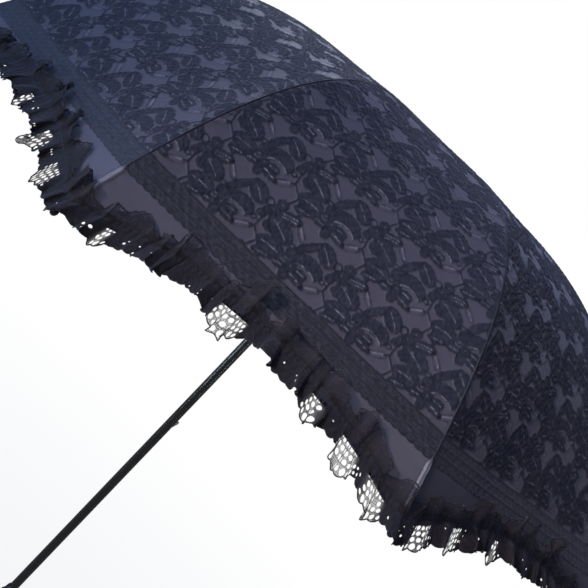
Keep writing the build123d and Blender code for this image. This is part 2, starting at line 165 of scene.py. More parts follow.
def mesh(name, verts, quads, tris=(), mats=(), attrs=None, mat_index=None):
    """Smooth-shaded object from millimetre points; attrs are floats or vectors per point."""
    verts = np.asarray(verts, np.float64) * 0.001
    quads = np.asarray(quads, np.int32).reshape(-1, 4)
    tris = np.asarray(tris, np.int32).reshape(-1, 3)
    data = bpy.data.meshes.new(name)
    n_quads, n_tris = len(quads), len(tris)
    data.vertices.add(len(verts))
    data.vertices.foreach_set("co", verts.astype(np.float32).ravel())
    data.loops.add(n_quads * 4 + n_tris * 3)
    data.loops.foreach_set("vertex_index", np.concatenate([quads.ravel(), tris.ravel()]))
    data.polygons.add(n_quads + n_tris)
    starts = np.concatenate([np.arange(n_quads) * 4, n_quads * 4 + np.arange(n_tris) * 3])
    data.polygons.foreach_set("loop_start", starts.astype(np.int32))
    data.polygons.foreach_set("loop_total", np.repeat([4, 3], [n_quads, n_tris]).astype(np.int32))
    if mat_index is not None:
        data.polygons.foreach_set("material_index", np.asarray(mat_index, np.int32))
    data.update(calc_edges=True)
    data.validate()
    data.polygons.foreach_set("use_smooth", np.full(len(data.polygons), True))
    for key, values in (attrs or {}).items():
        values = np.asarray(values, np.float32)
        is_vector = values.ndim == 2
        attribute = data.attributes.new(key, "FLOAT_VECTOR" if is_vector else "FLOAT", "POINT")
        attribute.data.foreach_set("vector" if is_vector else "value", values.ravel())
    for mat in mats:
        data.materials.append(mat)
    ob = bpy.data.objects.new(name, data)
    scene.collection.objects.link(ob)
    return ob


def grid_quads(rows, cols, close_rows=False, close_cols=False):
    """Quads over points laid out row by row; a closed direction joins its end to its start."""
    i, j = np.meshgrid(np.arange(rows - (not close_rows)), np.arange(cols - (not close_cols)),
                       indexing="ij")
    i2, j2 = (i + 1) % rows, (j + 1) % cols
    corners = [i * cols + j, i * cols + j2, i2 * cols + j2, i2 * cols + j]
    return np.stack(corners, -1).reshape(-1, 4)


def tube(points, radius, sides=6, closed=False):
    """Round tube along points; the radius may vary and open ends are capped."""
    points = np.asarray(points, float)
    count = len(points)
    radius = np.broadcast_to(np.asarray(radius, float), (count,))
    if closed:
        along = np.roll(points, -1, 0) - np.roll(points, 1, 0)
    else:
        along = np.gradient(points, axis=0)
    along /= np.linalg.norm(along, axis=1)[:, None] + 1e-12
    across = np.cross(along, np.array((0.0, 0.0, 1.0)))
    across /= np.linalg.norm(across, axis=1)[:, None] + 1e-12
    upward = np.cross(across, along)
    angle = (np.arange(sides) * 2 * math.pi / sides)[None, :, None]
    ring = points[:, None, :] + radius[:, None, None] * (
        np.cos(angle) * across[:, None, :] + np.sin(angle) * upward[:, None, :])
    verts, tris = ring.reshape(-1, 3), []
    if not closed:
        verts = np.concatenate([verts, points[:1], points[-1:]])
        first, last, end = count * sides, count * sides + 1, (count - 1) * sides
        for j in range(sides):
            j2 = (j + 1) % sides
            tris += [(first, j2, j), (last, end + j, end + j2)]
    return verts, grid_quads(count, sides, closed, True), np.array(tris, int).reshape(-1, 3)


class Parts:
    """Collects several sheets and tubes into one mesh."""

    def __init__(self):
        self.verts, self.quads, self.tris = [], [], []
        self.quad_mats, self.tri_mats = [], []
        self.count, self.attrs = 0, {}

    def add(self, verts, quads=(), tris=(), mat=0, **attrs):
        verts = np.asarray(verts, float).reshape(-1, 3)
        quads = np.asarray(quads, np.int64).reshape(-1, 4)
        tris = np.asarray(tris, np.int64).reshape(-1, 3)
        self.verts.append(verts)
        self.quads.append(quads + self.count)
        self.tris.append(tris + self.count)
        self.quad_mats.append(np.full(len(quads), mat))
        self.tri_mats.append(np.full(len(tris), mat))
        for key, values in attrs.items():
            self.attrs.setdefault(key, []).append(np.asarray(values, float))
        self.count += len(verts)

    def add_tube(self, points, radius, sides, mat, pat_scale, **attrs):
        """Adds a tube with its pattern taken from its place; attrs are one number each."""
        verts, quads, tris = tube(points, radius, sides)
        attrs = {key: np.full(len(verts), value) for key, value in attrs.items()}
        self.add(verts, quads, tris, mat=mat, pat=verts * pat_scale, **attrs)

    def make(self, name, mats):
        attrs = {key: np.concatenate(values) for key, values in self.attrs.items()}
        return mesh(name, np.concatenate(self.verts), np.concatenate(self.quads),
                    np.concatenate(self.tris), mats, attrs,
                    np.concatenate(self.quad_mats + self.tri_mats))


def thicken(ob):
    modifier = ob.modifiers.new("thick", "SOLIDIFY")
    modifier.thickness, modifier.offset = 0.0004, 0.0


def ride(ob, body):
    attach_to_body(ob, body)


def flip(faces, side):
    return faces if side > 0 else faces[:, ::-1]


# ---------------------------------------------------------------- seeded waves
class Waves:
    """Periodic sum of sines with wavelengths between shortest and longest."""

    def __init__(self, seed, period, shortest, longest, count):
        rng = np.random.default_rng(seed)
        self.period = period
        lengths = np.exp(rng.uniform(math.log(shortest), math.log(longest), count))
        self.cycles = np.round(period / lengths)
        self.phases = rng.uniform(0, 2 * math.pi, count)
        self.sizes = rng.uniform(0.5, 1.0, count)
        self.sizes /= np.sqrt((self.sizes ** 2).sum() / 2)

    def __call__(self, place):
        place = np.asarray(place, float)
        total = np.zeros_like(place)
        for cycles, phase, size in zip(self.cycles, self.phases, self.sizes):
            total += size * np.sin(2 * math.pi * cycles * place / self.period + phase)
        return total


def smoothstep(x, start, end):
    t = np.clip((x - start) / (end - start), 0, 1)
    return t * t * (3 - 2 * t)


# ---------------------------------------------------------------- lace repeat
CELL_W, CELL_H = 74.4, 55.0  # one repeat
NX, NY = 372, 276            # samples over it

# Vein lines are raised threads that the lace material paints pale: a painted highlight.
VEIN_GLINTS = {0: (), 1: (0.0,), 2: (-0.28, 0.3)}  # places across the leaf, in half widths
# x, y, half length, half width, turn in degrees, vein lines (raised, painted pale as glints),
# cut ellipse (x, y, half length, half width, turn), round holes (x, y, radius)
LEAVES = (
    # first flower
    (-18.6, -3.4, 11.0, 7.4, 35, 1, (), ()),
    (2.4, -9.6, 4.6, 4.2, 0, 0, (), ((0.4, 0.6, 1.0),)),
    (0.0, 0.0, 4.6, 4.4, 0, 0, (), ((0, 0, 1.1),)),
    (14.0, -4.6, 9.0, 4.8, -20, 2, (), ()),
    (15.0, 9.8, 12.8, 8.6, 24, 1, (), ((-5.6, -3.4, 1.5),)),
    (-3.0, 4.6, 3.6, 3.4, 0, 0, (), ()),
    (-5.0, 9.8, 3.6, 3.3, 20, 0, (), ()),
    (5.2, 15.5, 4.0, 2.6, 35, 0, (), ()),
    (-34.2, 3.0, 11.0, 3.4, -58, 0, (), ()),
    (14.5, 36.5, 6.2, 2.4, 62, 0, (), ()),
    # second flower
    (-22.8, 16.6, 13.2, 9.0, 0, 0, (0.6, 9.6, 10.4, 6.0, 0), ()),
    (-23.4, 26.8, 5.6, 3.4, 0, 1, (), ()),
    (-56.2, 27.2, 11.0, 7.6, -5, 1, (), ((3.6, -1.0, 1.2),)),
    (-57.0, 37.2, 6.8, 2.4, -15, 1, (), ()),
    (-40.8, 18.8, 4.2, 4.6, 0, 0, (), ()),
    (-33.6, 27.6, 4.4, 4.2, 0, 0, (), ((0, 0, 1.1),)),
    (-23.6, 33.2, 8.2, 3.6, 8, 1, (), ()),
    (-33.6, 37.6, 3.8, 4.2, 0, 0, (), ()),
    (-43.0, 33.4, 5.2, 3.2, -10, 1, (), ()),
)
# x, y, radius, half thickness
RINGS = ((-6.4, -3.6, 3.6, 0.9), (-41.6, 24.4, 2.6, 0.8), (-6.8, 17.4, 2.2, 0.7))
# x, y, half length, half width, turn, half thickness of the outline
LENSES = ((28.0, -1.4, 9.0, 2.7, 42, 0.75), (-9.0, 30.0, 9.4, 3.0, -38, 0.8))
# x and y of both ends, radius
BARS = (
    (-1.2, 8.4, -1.8, 13.2, 0.9), (-1.8, 13.2, -1.2, 22.8, 0.85), (-1.2, 22.8, 8.4, 31.2, 0.85),
    (8.4, 31.2, 4.2, 43.0, 0.8), (-1.2, 22.8, -4.5, 26.0, 0.8), (26.5, 11.5, 33.0, 11.0, 0.8),
    (-12.0, 17.2, -9.0, 17.4, 0.7), (-4.6, 17.4, -1.9, 17.0, 0.7), (-44.0, 16.0, -49.0, 12.0, 0.7),
)


def ellipse(dx, dy, length, width, turn):
    """Rough distance inside an ellipse, and the place along and across it."""
    cos_t, sin_t = math.cos(math.radians(turn)), math.sin(math.radians(turn))
    along, across = dx * cos_t + dy * sin_t, -dx * sin_t + dy * cos_t
    size = np.sqrt((along / length) ** 2 + (across / width) ** 2) + 1e-6
    inside = (1 - size) * min(length, width) * np.clip(0.6 + 0.4 * size, 0.6, 1.4)
    return inside, along, across


def lace_cell():
    """Motif body, cord and vein-glint fields over one repeat of the lace, from the drawn shapes."""
    grid_x, grid_y = np.meshgrid((np.arange(NX) + 0.5) * CELL_W / NX,
                                 (np.arange(NY) + 0.5) * CELL_H / NY)
    solid, cuts, cords, vein_glints = (np.full(grid_x.shape, -9.0) for _ in range(4))
    soft = np.full(grid_x.shape, 1e-9)

    def copies(x, y, reach):
        """Grid places relative to each copy of a shape that comes near the repeat."""
        for i in (-1, 0, 1, 2):
            for j in (-1, 0, 1, 2):
                copy_x, copy_y = x % CELL_W + i * CELL_W, y % CELL_H + j * CELL_H
                if -reach < copy_x < CELL_W + reach and -reach < copy_y < CELL_H + reach:
                    yield grid_x - copy_x, grid_y - copy_y

    def draw(field, shape):
        np.maximum(field, shape, out=field)

    for x, y, length, width, turn, vein_glint_count, cut, holes in LEAVES:
        for dx, dy in copies(x, y, reach=34):
            leaf, along, across = ellipse(dx, dy, length, width, turn)
            # The added sine makes the edge wavy.
            leaf = leaf + 0.85 - 0.3 * np.sin(along * 1.15) * (np.abs(leaf) < 2.0)
            if cut:
                cut_x, cut_y, cut_length, cut_width, cut_turn = cut
                opening = ellipse(dx - cut_x, dy - cut_y, cut_length, cut_width, cut_turn)[0]
                leaf = np.minimum(leaf, -opening)
                outline = ellipse(dx, dy, length * 1.05, width * 1.3, turn)[0] + 1.0
                draw(cuts, np.minimum(opening, outline))
            for hole_x, hole_y, hole_r in holes:
                distance = np.hypot(dx - hole_x, dy - hole_y)
                leaf = np.minimum(leaf, distance - hole_r)
                draw(cuts, hole_r - distance)
            draw(solid, leaf)
            soft += np.exp(leaf / 0.8)
            draw(cords, 0.5 - np.abs(leaf - 0.55))
            # Vein lines: raised, and painted pale by the material as a highlight.
            for place in VEIN_GLINTS[vein_glint_count]:
                bend = place * width + 0.18 * width * (along / length) ** 2
                draw(vein_glints, np.where(np.abs(along) < 0.72 * length,
                                     0.42 - np.abs(across - bend), -9))
            # Painted highlight arc along the edge of the cut, on the leaf.
            if cut:
                rim = ellipse(dx - cut_x, dy - cut_y, cut_length + 0.9, cut_width + 0.9,
                              cut_turn)[0]
                draw(vein_glints, np.where(leaf > 0.0, 0.45 - np.abs(rim), -9))

    for x, y, radius, half in RINGS:
        for dx, dy in copies(x, y, reach=20):
            distance = np.hypot(dx, dy)
            draw(cords, half - np.abs(distance - radius))
            draw(solid, half - np.abs(distance - radius))
            draw(cuts, radius - half - distance)

    for x, y, length, width, turn, half in LENSES:
        for dx, dy in copies(x, y, reach=20):
            lens, along, across = ellipse(dx, dy, length, width, turn)
            draw(cords, half - np.abs(lens))
            # A painted highlight line inside the lens.
            draw(vein_glints, np.where(np.abs(along) < 0.6 * length,
                                 0.5 - np.abs(across + 0.25 * width), -9))

    for x0, y0, x1, y1, radius in BARS:
        half = math.hypot(x1 - x0, y1 - y0) / 2
        angle = math.atan2(y1 - y0, x1 - x0)
        for dx, dy in copies((x0 + x1) / 2, (y0 + y1) / 2, reach=25):
            along = dx * math.cos(angle) + dy * math.sin(angle)
            across = -dx * math.sin(angle) + dy * math.cos(angle)
            bar = radius - np.hypot(np.maximum(np.abs(along) - half, 0), across)
            draw(solid, bar)
            draw(cords, bar - 0.1)

    # Neighbouring leaves run together, but not across the cuts.
    merged = np.minimum(0.8 * np.log(soft), 6.0)
    merged = np.minimum(merged, 0.4 - np.maximum(cuts, -8.0) * 1.2)
    draw(solid, merged)
    draw(cords, 0.42 - np.abs(merged - 0.4))
    return (smoothstep(solid, -0.55, 0.6), smoothstep(cords, -0.1, 0.45),
            smoothstep(vein_glints, -0.15, 0.4))


LACE_FIELDS = lace_cell()
LACE_ORIGIN = (13.8, 362.0)  # where a repeat starts, across and down the gore


def lace_sample(off, arc):
    """Body, cord and vein glint, a painted highlight, at places on the gore, blended between the
    samples.
    """
    col = np.mod(off - LACE_ORIGIN[0], CELL_W) / CELL_W * NX - 0.5
    row = np.mod(arc - LACE_ORIGIN[1], CELL_H) / CELL_H * NY - 0.5
    i, j = np.floor(col).astype(int), np.floor(row).astype(int)
    x, y = col - i, row - j
    i0, i1, j0, j1 = i % NX, (i + 1) % NX, j % NY, (j + 1) % NY
    return [field[j0, i0] * (1 - x) * (1 - y) + field[j0, i1] * x * (1 - y)
            + field[j1, i0] * (1 - x) * y + field[j1, i1] * x * y for field in LACE_FIELDS]


# ---------------------------------------------------------------- node helpers
class Graph:
    """Short calls that add nodes to one tree; they return output sockets."""

    def __init__(self, tree):
        self.tree = tree
        tree.nodes.clear()

    def put(self, socket, value):
        if hasattr(value, "is_output"):
            self.tree.links.new(value, socket)
            return
        if hasattr(value, "__len__") and len(value) == 3 and len(socket.default_value) == 4:
            value = (*value, 1.0)
        socket.default_value = value

    def node(self, kind, inputs=(), **props):
        node = self.tree.nodes.new("ShaderNode" + kind)
        for key, value in props.items():
            setattr(node, key, value)
        for key, value in dict(inputs).items():
            self.put(node.inputs[key], value)
        return node

    def attr(self, name, output="Fac"):
        return self.node("Attribute", attribute_name=name).outputs[output]

    def coord_mm(self):
        coord = self.node("TexCoord").outputs["Object"]
        return self.node("VectorMath", {0: coord, "Scale": 1000.0}, operation="SCALE").outputs[0]

    def scaled(self, vec, factors):
        return self.node("VectorMath", {0: vec, 1: factors}, operation="MULTIPLY").outputs[0]

    def math(self, operation, a, b, clamp=False):
        return self.node("Math", {0: a, 1: b}, operation=operation, use_clamp=clamp).outputs[0]

    def mul(self, a, b, clamp=False):
        return self.math("MULTIPLY", a, b, clamp)

    def add(self, a, b, clamp=False):
        return self.math("ADD", a, b, clamp)

    def noise(self, vec, scale, detail=3.0, rough=0.55):
        return self.node("TexNoise", {"Vector": vec, "Scale": scale, "Detail": detail,
                                      "Roughness": rough}).outputs[0]

    def voronoi(self, vec, scale, random, feature="DISTANCE_TO_EDGE"):
        return self.node("TexVoronoi", {"Vector": vec, "Scale": scale, "Randomness": random},
                         feature=feature).outputs["Distance"]

    def wave(self, vec, scale, distort, detail, axis="DIAGONAL"):
        return self.node("TexWave", {"Vector": vec, "Scale": scale, "Distortion": distort,
                                     "Detail": detail}, bands_direction=axis).outputs["Fac"]

    def mix(self, amount, base, over):
        return self.node("Mix", {0: amount, 6: base, 7: over}, data_type="RGBA").outputs[2]

    def remap(self, value, source=(0.3, 0.7), to=(0.0, 1.0)):
        return self.node("MapRange", {0: value, 1: source[0], 2: source[1],
                                      3: to[0], 4: to[1]}).outputs[0]

    def bump(self, height, strength, distance):
        return self.node("Bump", {"Height": height, "Strength": strength,
                                  "Distance": distance}).outputs[0]


class Material(Graph):
    """A new material with one Principled shader."""

    def __init__(self, name):
        self.material = bpy.data.materials.new(name)
        self.material.use_nodes = True
        super().__init__(self.material.node_tree)
        self.out = self.node("OutputMaterial")
        self.shader = self.node("BsdfPrincipled")
        self.put(self.out.inputs[0], self.shader.outputs[0])

    def set(self, **inputs):
        for key, value in inputs.items():
            self.put(self.shader.inputs[key.replace("_", " ")], value)
        return self.material


def shade(color, factor):
    return tuple(c * factor for c in color)


# ---------------------------------------------------------------- fabric materials
COOL_SHEEN = (0.75, 0.78, 1.0)


def satin_color(n, pat, base, tint):
    """Satin colour with slow tone drift and lighter slubs; also returns the slubs."""
    slub = n.noise(n.scaled(pat, (0.05, 0.9, 1.0)), scale=1.0)
    drift = n.noise(pat, scale=0.03)
    color = n.mix(n.remap(drift), base, tint)
    amount = n.mul(n.remap(slub, source=(0.45, 0.75), to=(0.0, 0.35)), 1.0)
    return n.mix(amount, color, shade(base, 1.5)), slub


def satin_weave(n, pat):
    """Height of the warp and weft threads."""
    warp = n.wave(n.scaled(pat, (1.0, 0.02, 1.0)), scale=2.6, distort=1.2, detail=2.0, axis="X")
    weft = n.wave(pat, scale=2.2, distort=0.8, detail=1.0, axis="Y")
    return n.add(n.mul(warp, 0.6), n.mul(weft, 0.4))


def make_satin(name, base, tint, rough):
    n = Material(name)
    pat = n.attr("pat", "Vector")
    color, slub = satin_color(n, pat, base, tint)
    return n.set(
        Base_Color=color,
        Roughness=n.remap(slub, source=(0.3, 0.8), to=(rough - 0.05, rough + 0.1)),
        Specular_IOR_Level=0.42, Anisotropic=0.45,
        Sheen_Weight=0.25, Sheen_Roughness=0.4, Sheen_Tint=COOL_SHEEN,
        Normal=n.bump(satin_weave(n, pat), strength=0.25, distance=0.0002))


def make_lace():
    """Net, motif, cord and border net, blended by the attributes of the lace mesh."""
    n = Material("canopy_lace")
    lace, cord, vein, band = (n.attr(name) for name in ("lace", "cord", "vein", "band"))
    pat = n.attr("pat", "Vector")
    satin, _ = satin_color(n, pat, base=(0.060, 0.0525, 0.069), tint=(0.070, 0.061, 0.079))
    # Net ground: dark threads over satin.
    net = n.remap(n.voronoi(pat, scale=0.62, random=0.25), source=(0.03, 0.16), to=(1.0, 0.0))
    ground = n.mix(n.mul(net, 0.45), satin, (0.012, 0.012, 0.02))
    # Motif: dense thread fill with fine grain and broad pale patches.
    fill = n.wave(n.scaled(pat, (0.8, 1.0, 1.0)), scale=1.5, distort=2.5, detail=2.0)
    grain = n.noise(pat, scale=1.3, detail=4.0)
    motif = n.mix(n.remap(grain, source=(0.35, 0.75)),
                  (0.0135, 0.0142, 0.0245), (0.023, 0.0235, 0.038))
    patches = n.remap(n.noise(pat, scale=0.11), source=(0.42, 0.64), to=(0.0, 0.7))
    motif = n.mix(patches, motif, (0.034, 0.033, 0.047))
    color = n.mix(lace, ground, motif)
    # Nearly black cords of uneven strength.
    thick = n.remap(n.noise(pat, scale=0.2, detail=2.0), source=(0.40, 0.60), to=(0.18, 0.9))
    color = n.mix(n.mul(cord, thick), color, (0.0045, 0.0045, 0.0085))
    # Border net: diamonds with pale streaks and dark spots.
    turned_pat = n.node("VectorRotate", {"Vector": pat, "Angle": math.pi / 4},
                        rotation_type="Z_AXIS").outputs[0]
    diamonds = n.remap(n.voronoi(turned_pat, scale=0.42, random=0.1),
                       source=(0.05, 0.22), to=(1.0, 0.0))
    border = n.mix(diamonds, (0.020, 0.0185, 0.027), (0.007, 0.007, 0.011))
    streak = n.noise(n.scaled(pat, (0.09, 0.9, 1.0)), scale=1.0, detail=4.0, rough=0.65)
    border = n.mix(n.remap(streak, source=(0.45, 0.62), to=(0.0, 0.85)),
                   border, (0.050, 0.043, 0.056))
    spots = n.remap(n.noise(pat, scale=0.35), source=(0.47, 0.62), to=(0.0, 0.9))
    border = n.mix(spots, border, (0.007, 0.0065, 0.010))
    color = n.mix(band, color, border)
    color = n.mix(n.mul(n.mul(cord, band), 0.85), color, (0.004, 0.004, 0.006))
    # Veins painted pale and silky: a painted highlight on the raised vein threads.
    painted_glint = n.mul(vein, n.remap(n.noise(pat, scale=0.16, detail=2.0),
                               source=(0.35, 0.6), to=(0.15, 1.0)))
    color = n.mix(n.mul(painted_glint, 0.95, clamp=True), color, (0.25, 0.24, 0.275))

    def by_lace(net_value, motif_value):
        return n.remap(lace, source=(0.0, 1.0), to=(net_value, motif_value))

    height = n.add(n.mul(fill, n.mul(lace, 0.5)), n.mul(net, 0.6))
    height = n.add(height, n.mul(grain, 0.5))
    return n.set(
        Base_Color=color,
        Roughness=n.math("SUBTRACT", by_lace(0.45, 0.62), n.mul(painted_glint, 0.2)),
        Specular_IOR_Level=by_lace(0.3, 0.16),
        Sheen_Weight=by_lace(0.25, 0.12), Sheen_Roughness=0.5, Sheen_Tint=COOL_SHEEN,
        Normal=n.bump(height, strength=0.45, distance=0.00035))


def make_ruffle(name, base, tint, specular, sheer=False):
    n = Material(name)
    pat = n.attr("pat", "Vector")
    flower = n.voronoi(pat, scale=0.14, random=0.8, feature="F1")
    petal = n.remap(n.wave(pat, scale=0.09, distort=6.0, detail=2.0), source=(0.35, 0.6))
    net = n.remap(n.voronoi(pat, scale=0.8, random=0.3), source=(0.03, 0.2), to=(1.0, 0.0))
    grain = n.noise(pat, scale=1.5)
    color = n.mix(petal, base, tint)
    color = n.mix(n.mul(net, 0.5), color, shade(base, 0.45))
    color = n.mix(n.remap(flower, source=(1.5, 4.0), to=(0.25, 0.0)), color, shade(tint, 1.7))
    if sheer:
        # Where "open" is high the net is see-through, apart from its threads and sprigs.
        single = n.attr("open")
        # The single-layer parts are painted lighter: painted light showing through the thin net.
        color = n.mix(n.mul(single, 0.8, clamp=True), color, (0.023, 0.0175, 0.0208))
        sprig = n.remap(n.noise(pat, scale=0.16, detail=2.0), source=(0.49, 0.56), to=(0.0, 0.16))
        alpha = n.add(n.add(0.25, sprig), n.mul(net, 0.38), clamp=True)
        dense = 0.97  # alpha away from the open parts
        n.set(Alpha=n.add(n.mul(n.math("SUBTRACT", alpha, dense), single), dense))
    height = n.add(n.mul(net, 0.8), n.add(n.mul(petal, 0.7), n.mul(grain, 0.4)))
    return n.set(
        Base_Color=color, Roughness=n.remap(grain, to=(0.48, 0.68)), Specular_IOR_Level=specular,
        Sheen_Weight=0.2, Sheen_Roughness=0.45, Sheen_Tint=(0.8, 0.8, 1.0),
        Normal=n.bump(height, strength=0.5, distance=0.0004))


def make_thread():
    n = Material("stitch_thread")
    twist = n.wave(n.attr("pat", "Vector"), scale=1.3, distort=0.5, detail=1.0)
    return n.set(Base_Color=n.mix(twist, (0.02, 0.019, 0.027), (0.05, 0.048, 0.062)),
                 Roughness=0.55, Specular_IOR_Level=0.35,
                 Normal=n.bump(twist, strength=0.5, distance=0.0002))


def make_seam_satin_painted_highlight():
    """Seam satin, nearly black where "tone" is 0 and pale where it is 1; the pale is a painted
    highlight on the seam.
    """
    n = Material("seam_satin_painted_highlight")
    tone, pat = n.attr("tone"), n.attr("pat", "Vector")
    satin, _ = satin_color(n, pat, base=(0.15, 0.14, 0.165), tint=(0.175, 0.163, 0.19))

    def by_tone(pale, dark):
        return n.remap(tone, source=(0.0, 1.0), to=(pale, dark))

    # Pale where tone is 1: a painted highlight along the seam on the plain cloth.
    return n.set(Base_Color=n.mix(by_tone(1.0, 0.0), (0.012, 0.0115, 0.017), satin)
                 if False else n.mix(by_tone(1.0, 0.0), satin, (0.012, 0.0115, 0.017)),
                 Roughness=by_tone(0.55, 0.33), Specular_IOR_Level=by_tone(0.3, 0.5),
                 Sheen_Weight=0.2, Sheen_Roughness=0.4,
                 Normal=n.bump(satin_weave(n, pat), strength=0.3, distance=0.0002))


SATIN = make_satin("satin_black", base=(0.070, 0.061, 0.078), tint=(0.080, 0.070, 0.088), rough=0.4)
PIPING = make_satin("satin_piping", base=(0.06, 0.055, 0.074), tint=(0.07, 0.063, 0.084),
                    rough=0.34)
LINING = make_satin("satin_inside", base=(0.022, 0.021, 0.03), tint=(0.03, 0.028, 0.038), rough=0.5)
LACE = make_lace()
RUFFLE = make_ruffle("ruffle_lace", base=(0.0080, 0.0063, 0.0080), tint=(0.0160, 0.0124, 0.0152),
                     specular=0.18, sheer=True)
CORD = make_ruffle("lace_cord", base=(0.008, 0.007, 0.0095), tint=(0.014, 0.0125, 0.017),
                   specular=0.4)
THREAD = make_thread()
SEAM = make_seam_satin_painted_highlight()


# ---------------------------------------------------------------- frame materials
def make_metal(name, color, rough, metallic=1.0, coat=0.0, scratch=0.35,
               stretch=(0.25, 0.25, 1.0)):
    """Metal or lacquer with fine lines, cloudy tone and pale wear; stretch shapes the lines."""
    n = Material(name)
    coord = n.coord_mm()
    lines = n.noise(n.scaled(coord, stretch), scale=2.2, detail=5.0, rough=0.7)
    cloud = n.noise(coord, scale=0.09, detail=4.0)
    wear = n.noise(coord, scale=0.5, detail=5.0, rough=0.65)
    tone = n.mix(n.remap(cloud), color, shade(color, 0.75))
    worn = tuple(min(1.0, c * 1.8 + 0.01) for c in color)
    tone = n.mix(n.mul(n.remap(wear, source=(0.62, 0.75)), scratch), tone, worn)
    roughness = n.add(n.remap(lines, to=(rough - 0.05, rough + 0.08)),
                      n.remap(cloud, to=(-0.02, 0.05)))
    return n.set(Base_Color=tone, Metallic=metallic, Roughness=roughness, Specular_IOR_Level=0.5,
                 Coat_Weight=coat, Coat_Roughness=0.08,
                 Normal=n.bump(lines, strength=0.12, distance=0.0001))


def make_wood():
    """Ebonised wood with its grain along z."""
    n = Material("ebonised_wood")
    coord = n.coord_mm()
    rings = n.wave(n.scaled(coord, (1.0, 1.0, 0.035)), scale=0.55, distort=5.0, detail=3.0,
                   axis="X")
    pores = n.voronoi(n.scaled(coord, (1.6, 1.6, 0.09)), scale=1.5, random=1.0, feature="F1")
    fibre = n.noise(n.scaled(coord, (2.2, 2.2, 0.06)), scale=1.6, detail=6.0, rough=0.7)
    color = n.mix(n.remap(rings, source=(0.2, 0.8)), (0.012, 0.009, 0.008), (0.03, 0.021, 0.017))
    color = n.mix(n.remap(fibre, source=(0.45, 0.75), to=(0.0, 0.6)), color, (0.006, 0.005, 0.005))
    color = n.mix(n.remap(pores, source=(0.0, 0.18), to=(0.6, 0.0)), color, (0.002, 0.002, 0.002))
    height = n.add(n.mul(fibre, 0.6), n.remap(pores, source=(0.0, 0.25)))
    return n.set(Base_Color=color, Roughness=n.remap(fibre, to=(0.26, 0.42)),
                 Specular_IOR_Level=0.5, Coat_Weight=0.55, Coat_Roughness=0.12,
                 Normal=n.bump(height, strength=0.25, distance=0.00025))


def make_plastic(name, color, rough):
    n = Material(name)
    coord = n.coord_mm()
    grain = n.noise(coord, scale=3.5, detail=4.0, rough=0.6)
    cloud = n.noise(coord, scale=0.12)
    flow = n.noise(n.scaled(coord, (1, 1, 0.2)), scale=0.8)
    return n.set(Base_Color=n.mix(n.remap(cloud), color, shade(color, 1.5)),
                 Roughness=n.remap(flow, to=(rough - 0.06, rough + 0.1)), Specular_IOR_Level=0.45,
                 Normal=n.bump(grain, strength=0.18, distance=0.0001))


LACQUER = make_metal("lacquered_tube", (0.0035, 0.0036, 0.0055), rough=0.22, metallic=0.0,
                     coat=0.8, scratch=0.04, stretch=(1.0, 1.0, 0.03))
STEEL = make_metal("black_frame_steel", (0.017, 0.017, 0.019), rough=0.36, metallic=0.35,
                   coat=0.25, scratch=0.5)
WIRE = make_metal("bright_wire", (0.55, 0.54, 0.52), rough=0.25, scratch=0.3)
NYLON = make_plastic("black_nylon", (0.012, 0.012, 0.013), rough=0.42)
GLOSS = make_plastic("gloss_black", (0.010, 0.010, 0.012), rough=0.2)
WOOD = make_wood()
TRIM = make_metal("black_metal_trim", (0.06, 0.058, 0.062), rough=0.24, coat=0.2, scratch=0.5)

FRAME_FINISHES = (
    (LACQUER, ["shaft_tube"]),
    (WOOD, ["handle_grip"]),
    (TRIM, ["handle_end_cap", "handle_collar", "crown_rosette", "ferrule", "runner_grip"]),
    (WIRE, ["runner_stop_pin", "crown_pin", "crown_ring_wire", "upper_catch_spring",
            "lower_catch_spring", "runner_ring_wire"]),
    (NYLON, ["crown_notch", "runner_sleeve", "runner_notch"]),
    (STEEL, [f"{part}_{k}" for k in GORES for part in ("rib", "stretcher")]),
    (GLOSS, [f"rib_tip_{k}" for k in GORES]),
)
for finish, node_names in FRAME_FINISHES:
    for node_name in node_names:
        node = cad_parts[node_name]
        if node.material_slots:
            for slot in node.material_slots:
                slot.material = finish
        else:
            node.data.materials.append(finish)


# ---------------------------------------------------------------- gore surface and grids
def piece_name(gore, side):
    return f"gore_{gore}{'b' if side > 0 else 'a'}"


def attach(ob):
    """Bakes the placement of a half-gore piece into its mesh."""
    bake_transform(ob)


CLOTH_WAVES = Waves(3, HEM_LENGTH, 60, 220, 7)


def sag(off, half, arc, gore, side):
    """Slight give of the cloth between the ribs plus pulls from the seams, along the normal."""
    share = np.clip(off / np.maximum(half, 1e-6), 0, 1)
    from_seam = half - off
    place = hem_place(gore, side, off)
    deep = smoothstep(arc, 60, 320) * (1.0 - 0.35 * smoothstep(arc, 460, 540))
    total = -2.6 * (1 - share ** 2) * deep
    total = total + 0.35 * CLOTH_WAVES(place + arc * 0.7) * (1 - share ** 2) * deep
    # Puckers about 11 apart that die away within a few millimetres of the seam.
    pull = np.exp(-from_seam / 7.0) * smoothstep(from_seam, 0.4, 3.0)
    phase = arc * (2 * math.pi / 11.0) + 1.7 * np.sin(arc / 23.0 + gore) + 0.09 * from_seam * side
    return total + 0.34 * pull * np.sin(phase) * smoothstep(arc, 70, 150)


def gore_points(gore, side, off, arc, seam, rise):
    """World points, offsets and fold weights; points flagged seam stay on the rib plane."""
    half = section(arc, rise)[0] * TAN_H
    rise = rise + sag(np.where(seam, half, off), half, arc, gore, side)
    x, z, _ = section(arc, rise)
    off = np.where(seam, x * TAN_H, np.minimum(off, x * TAN_H))
    return to_world(gore, side, x, off, z), off, fold_weight(x, z, half - off, half, arc)


STRAIGHT_END = 470.0  # rows are straight down to this arc, then shift to follow the lower edge


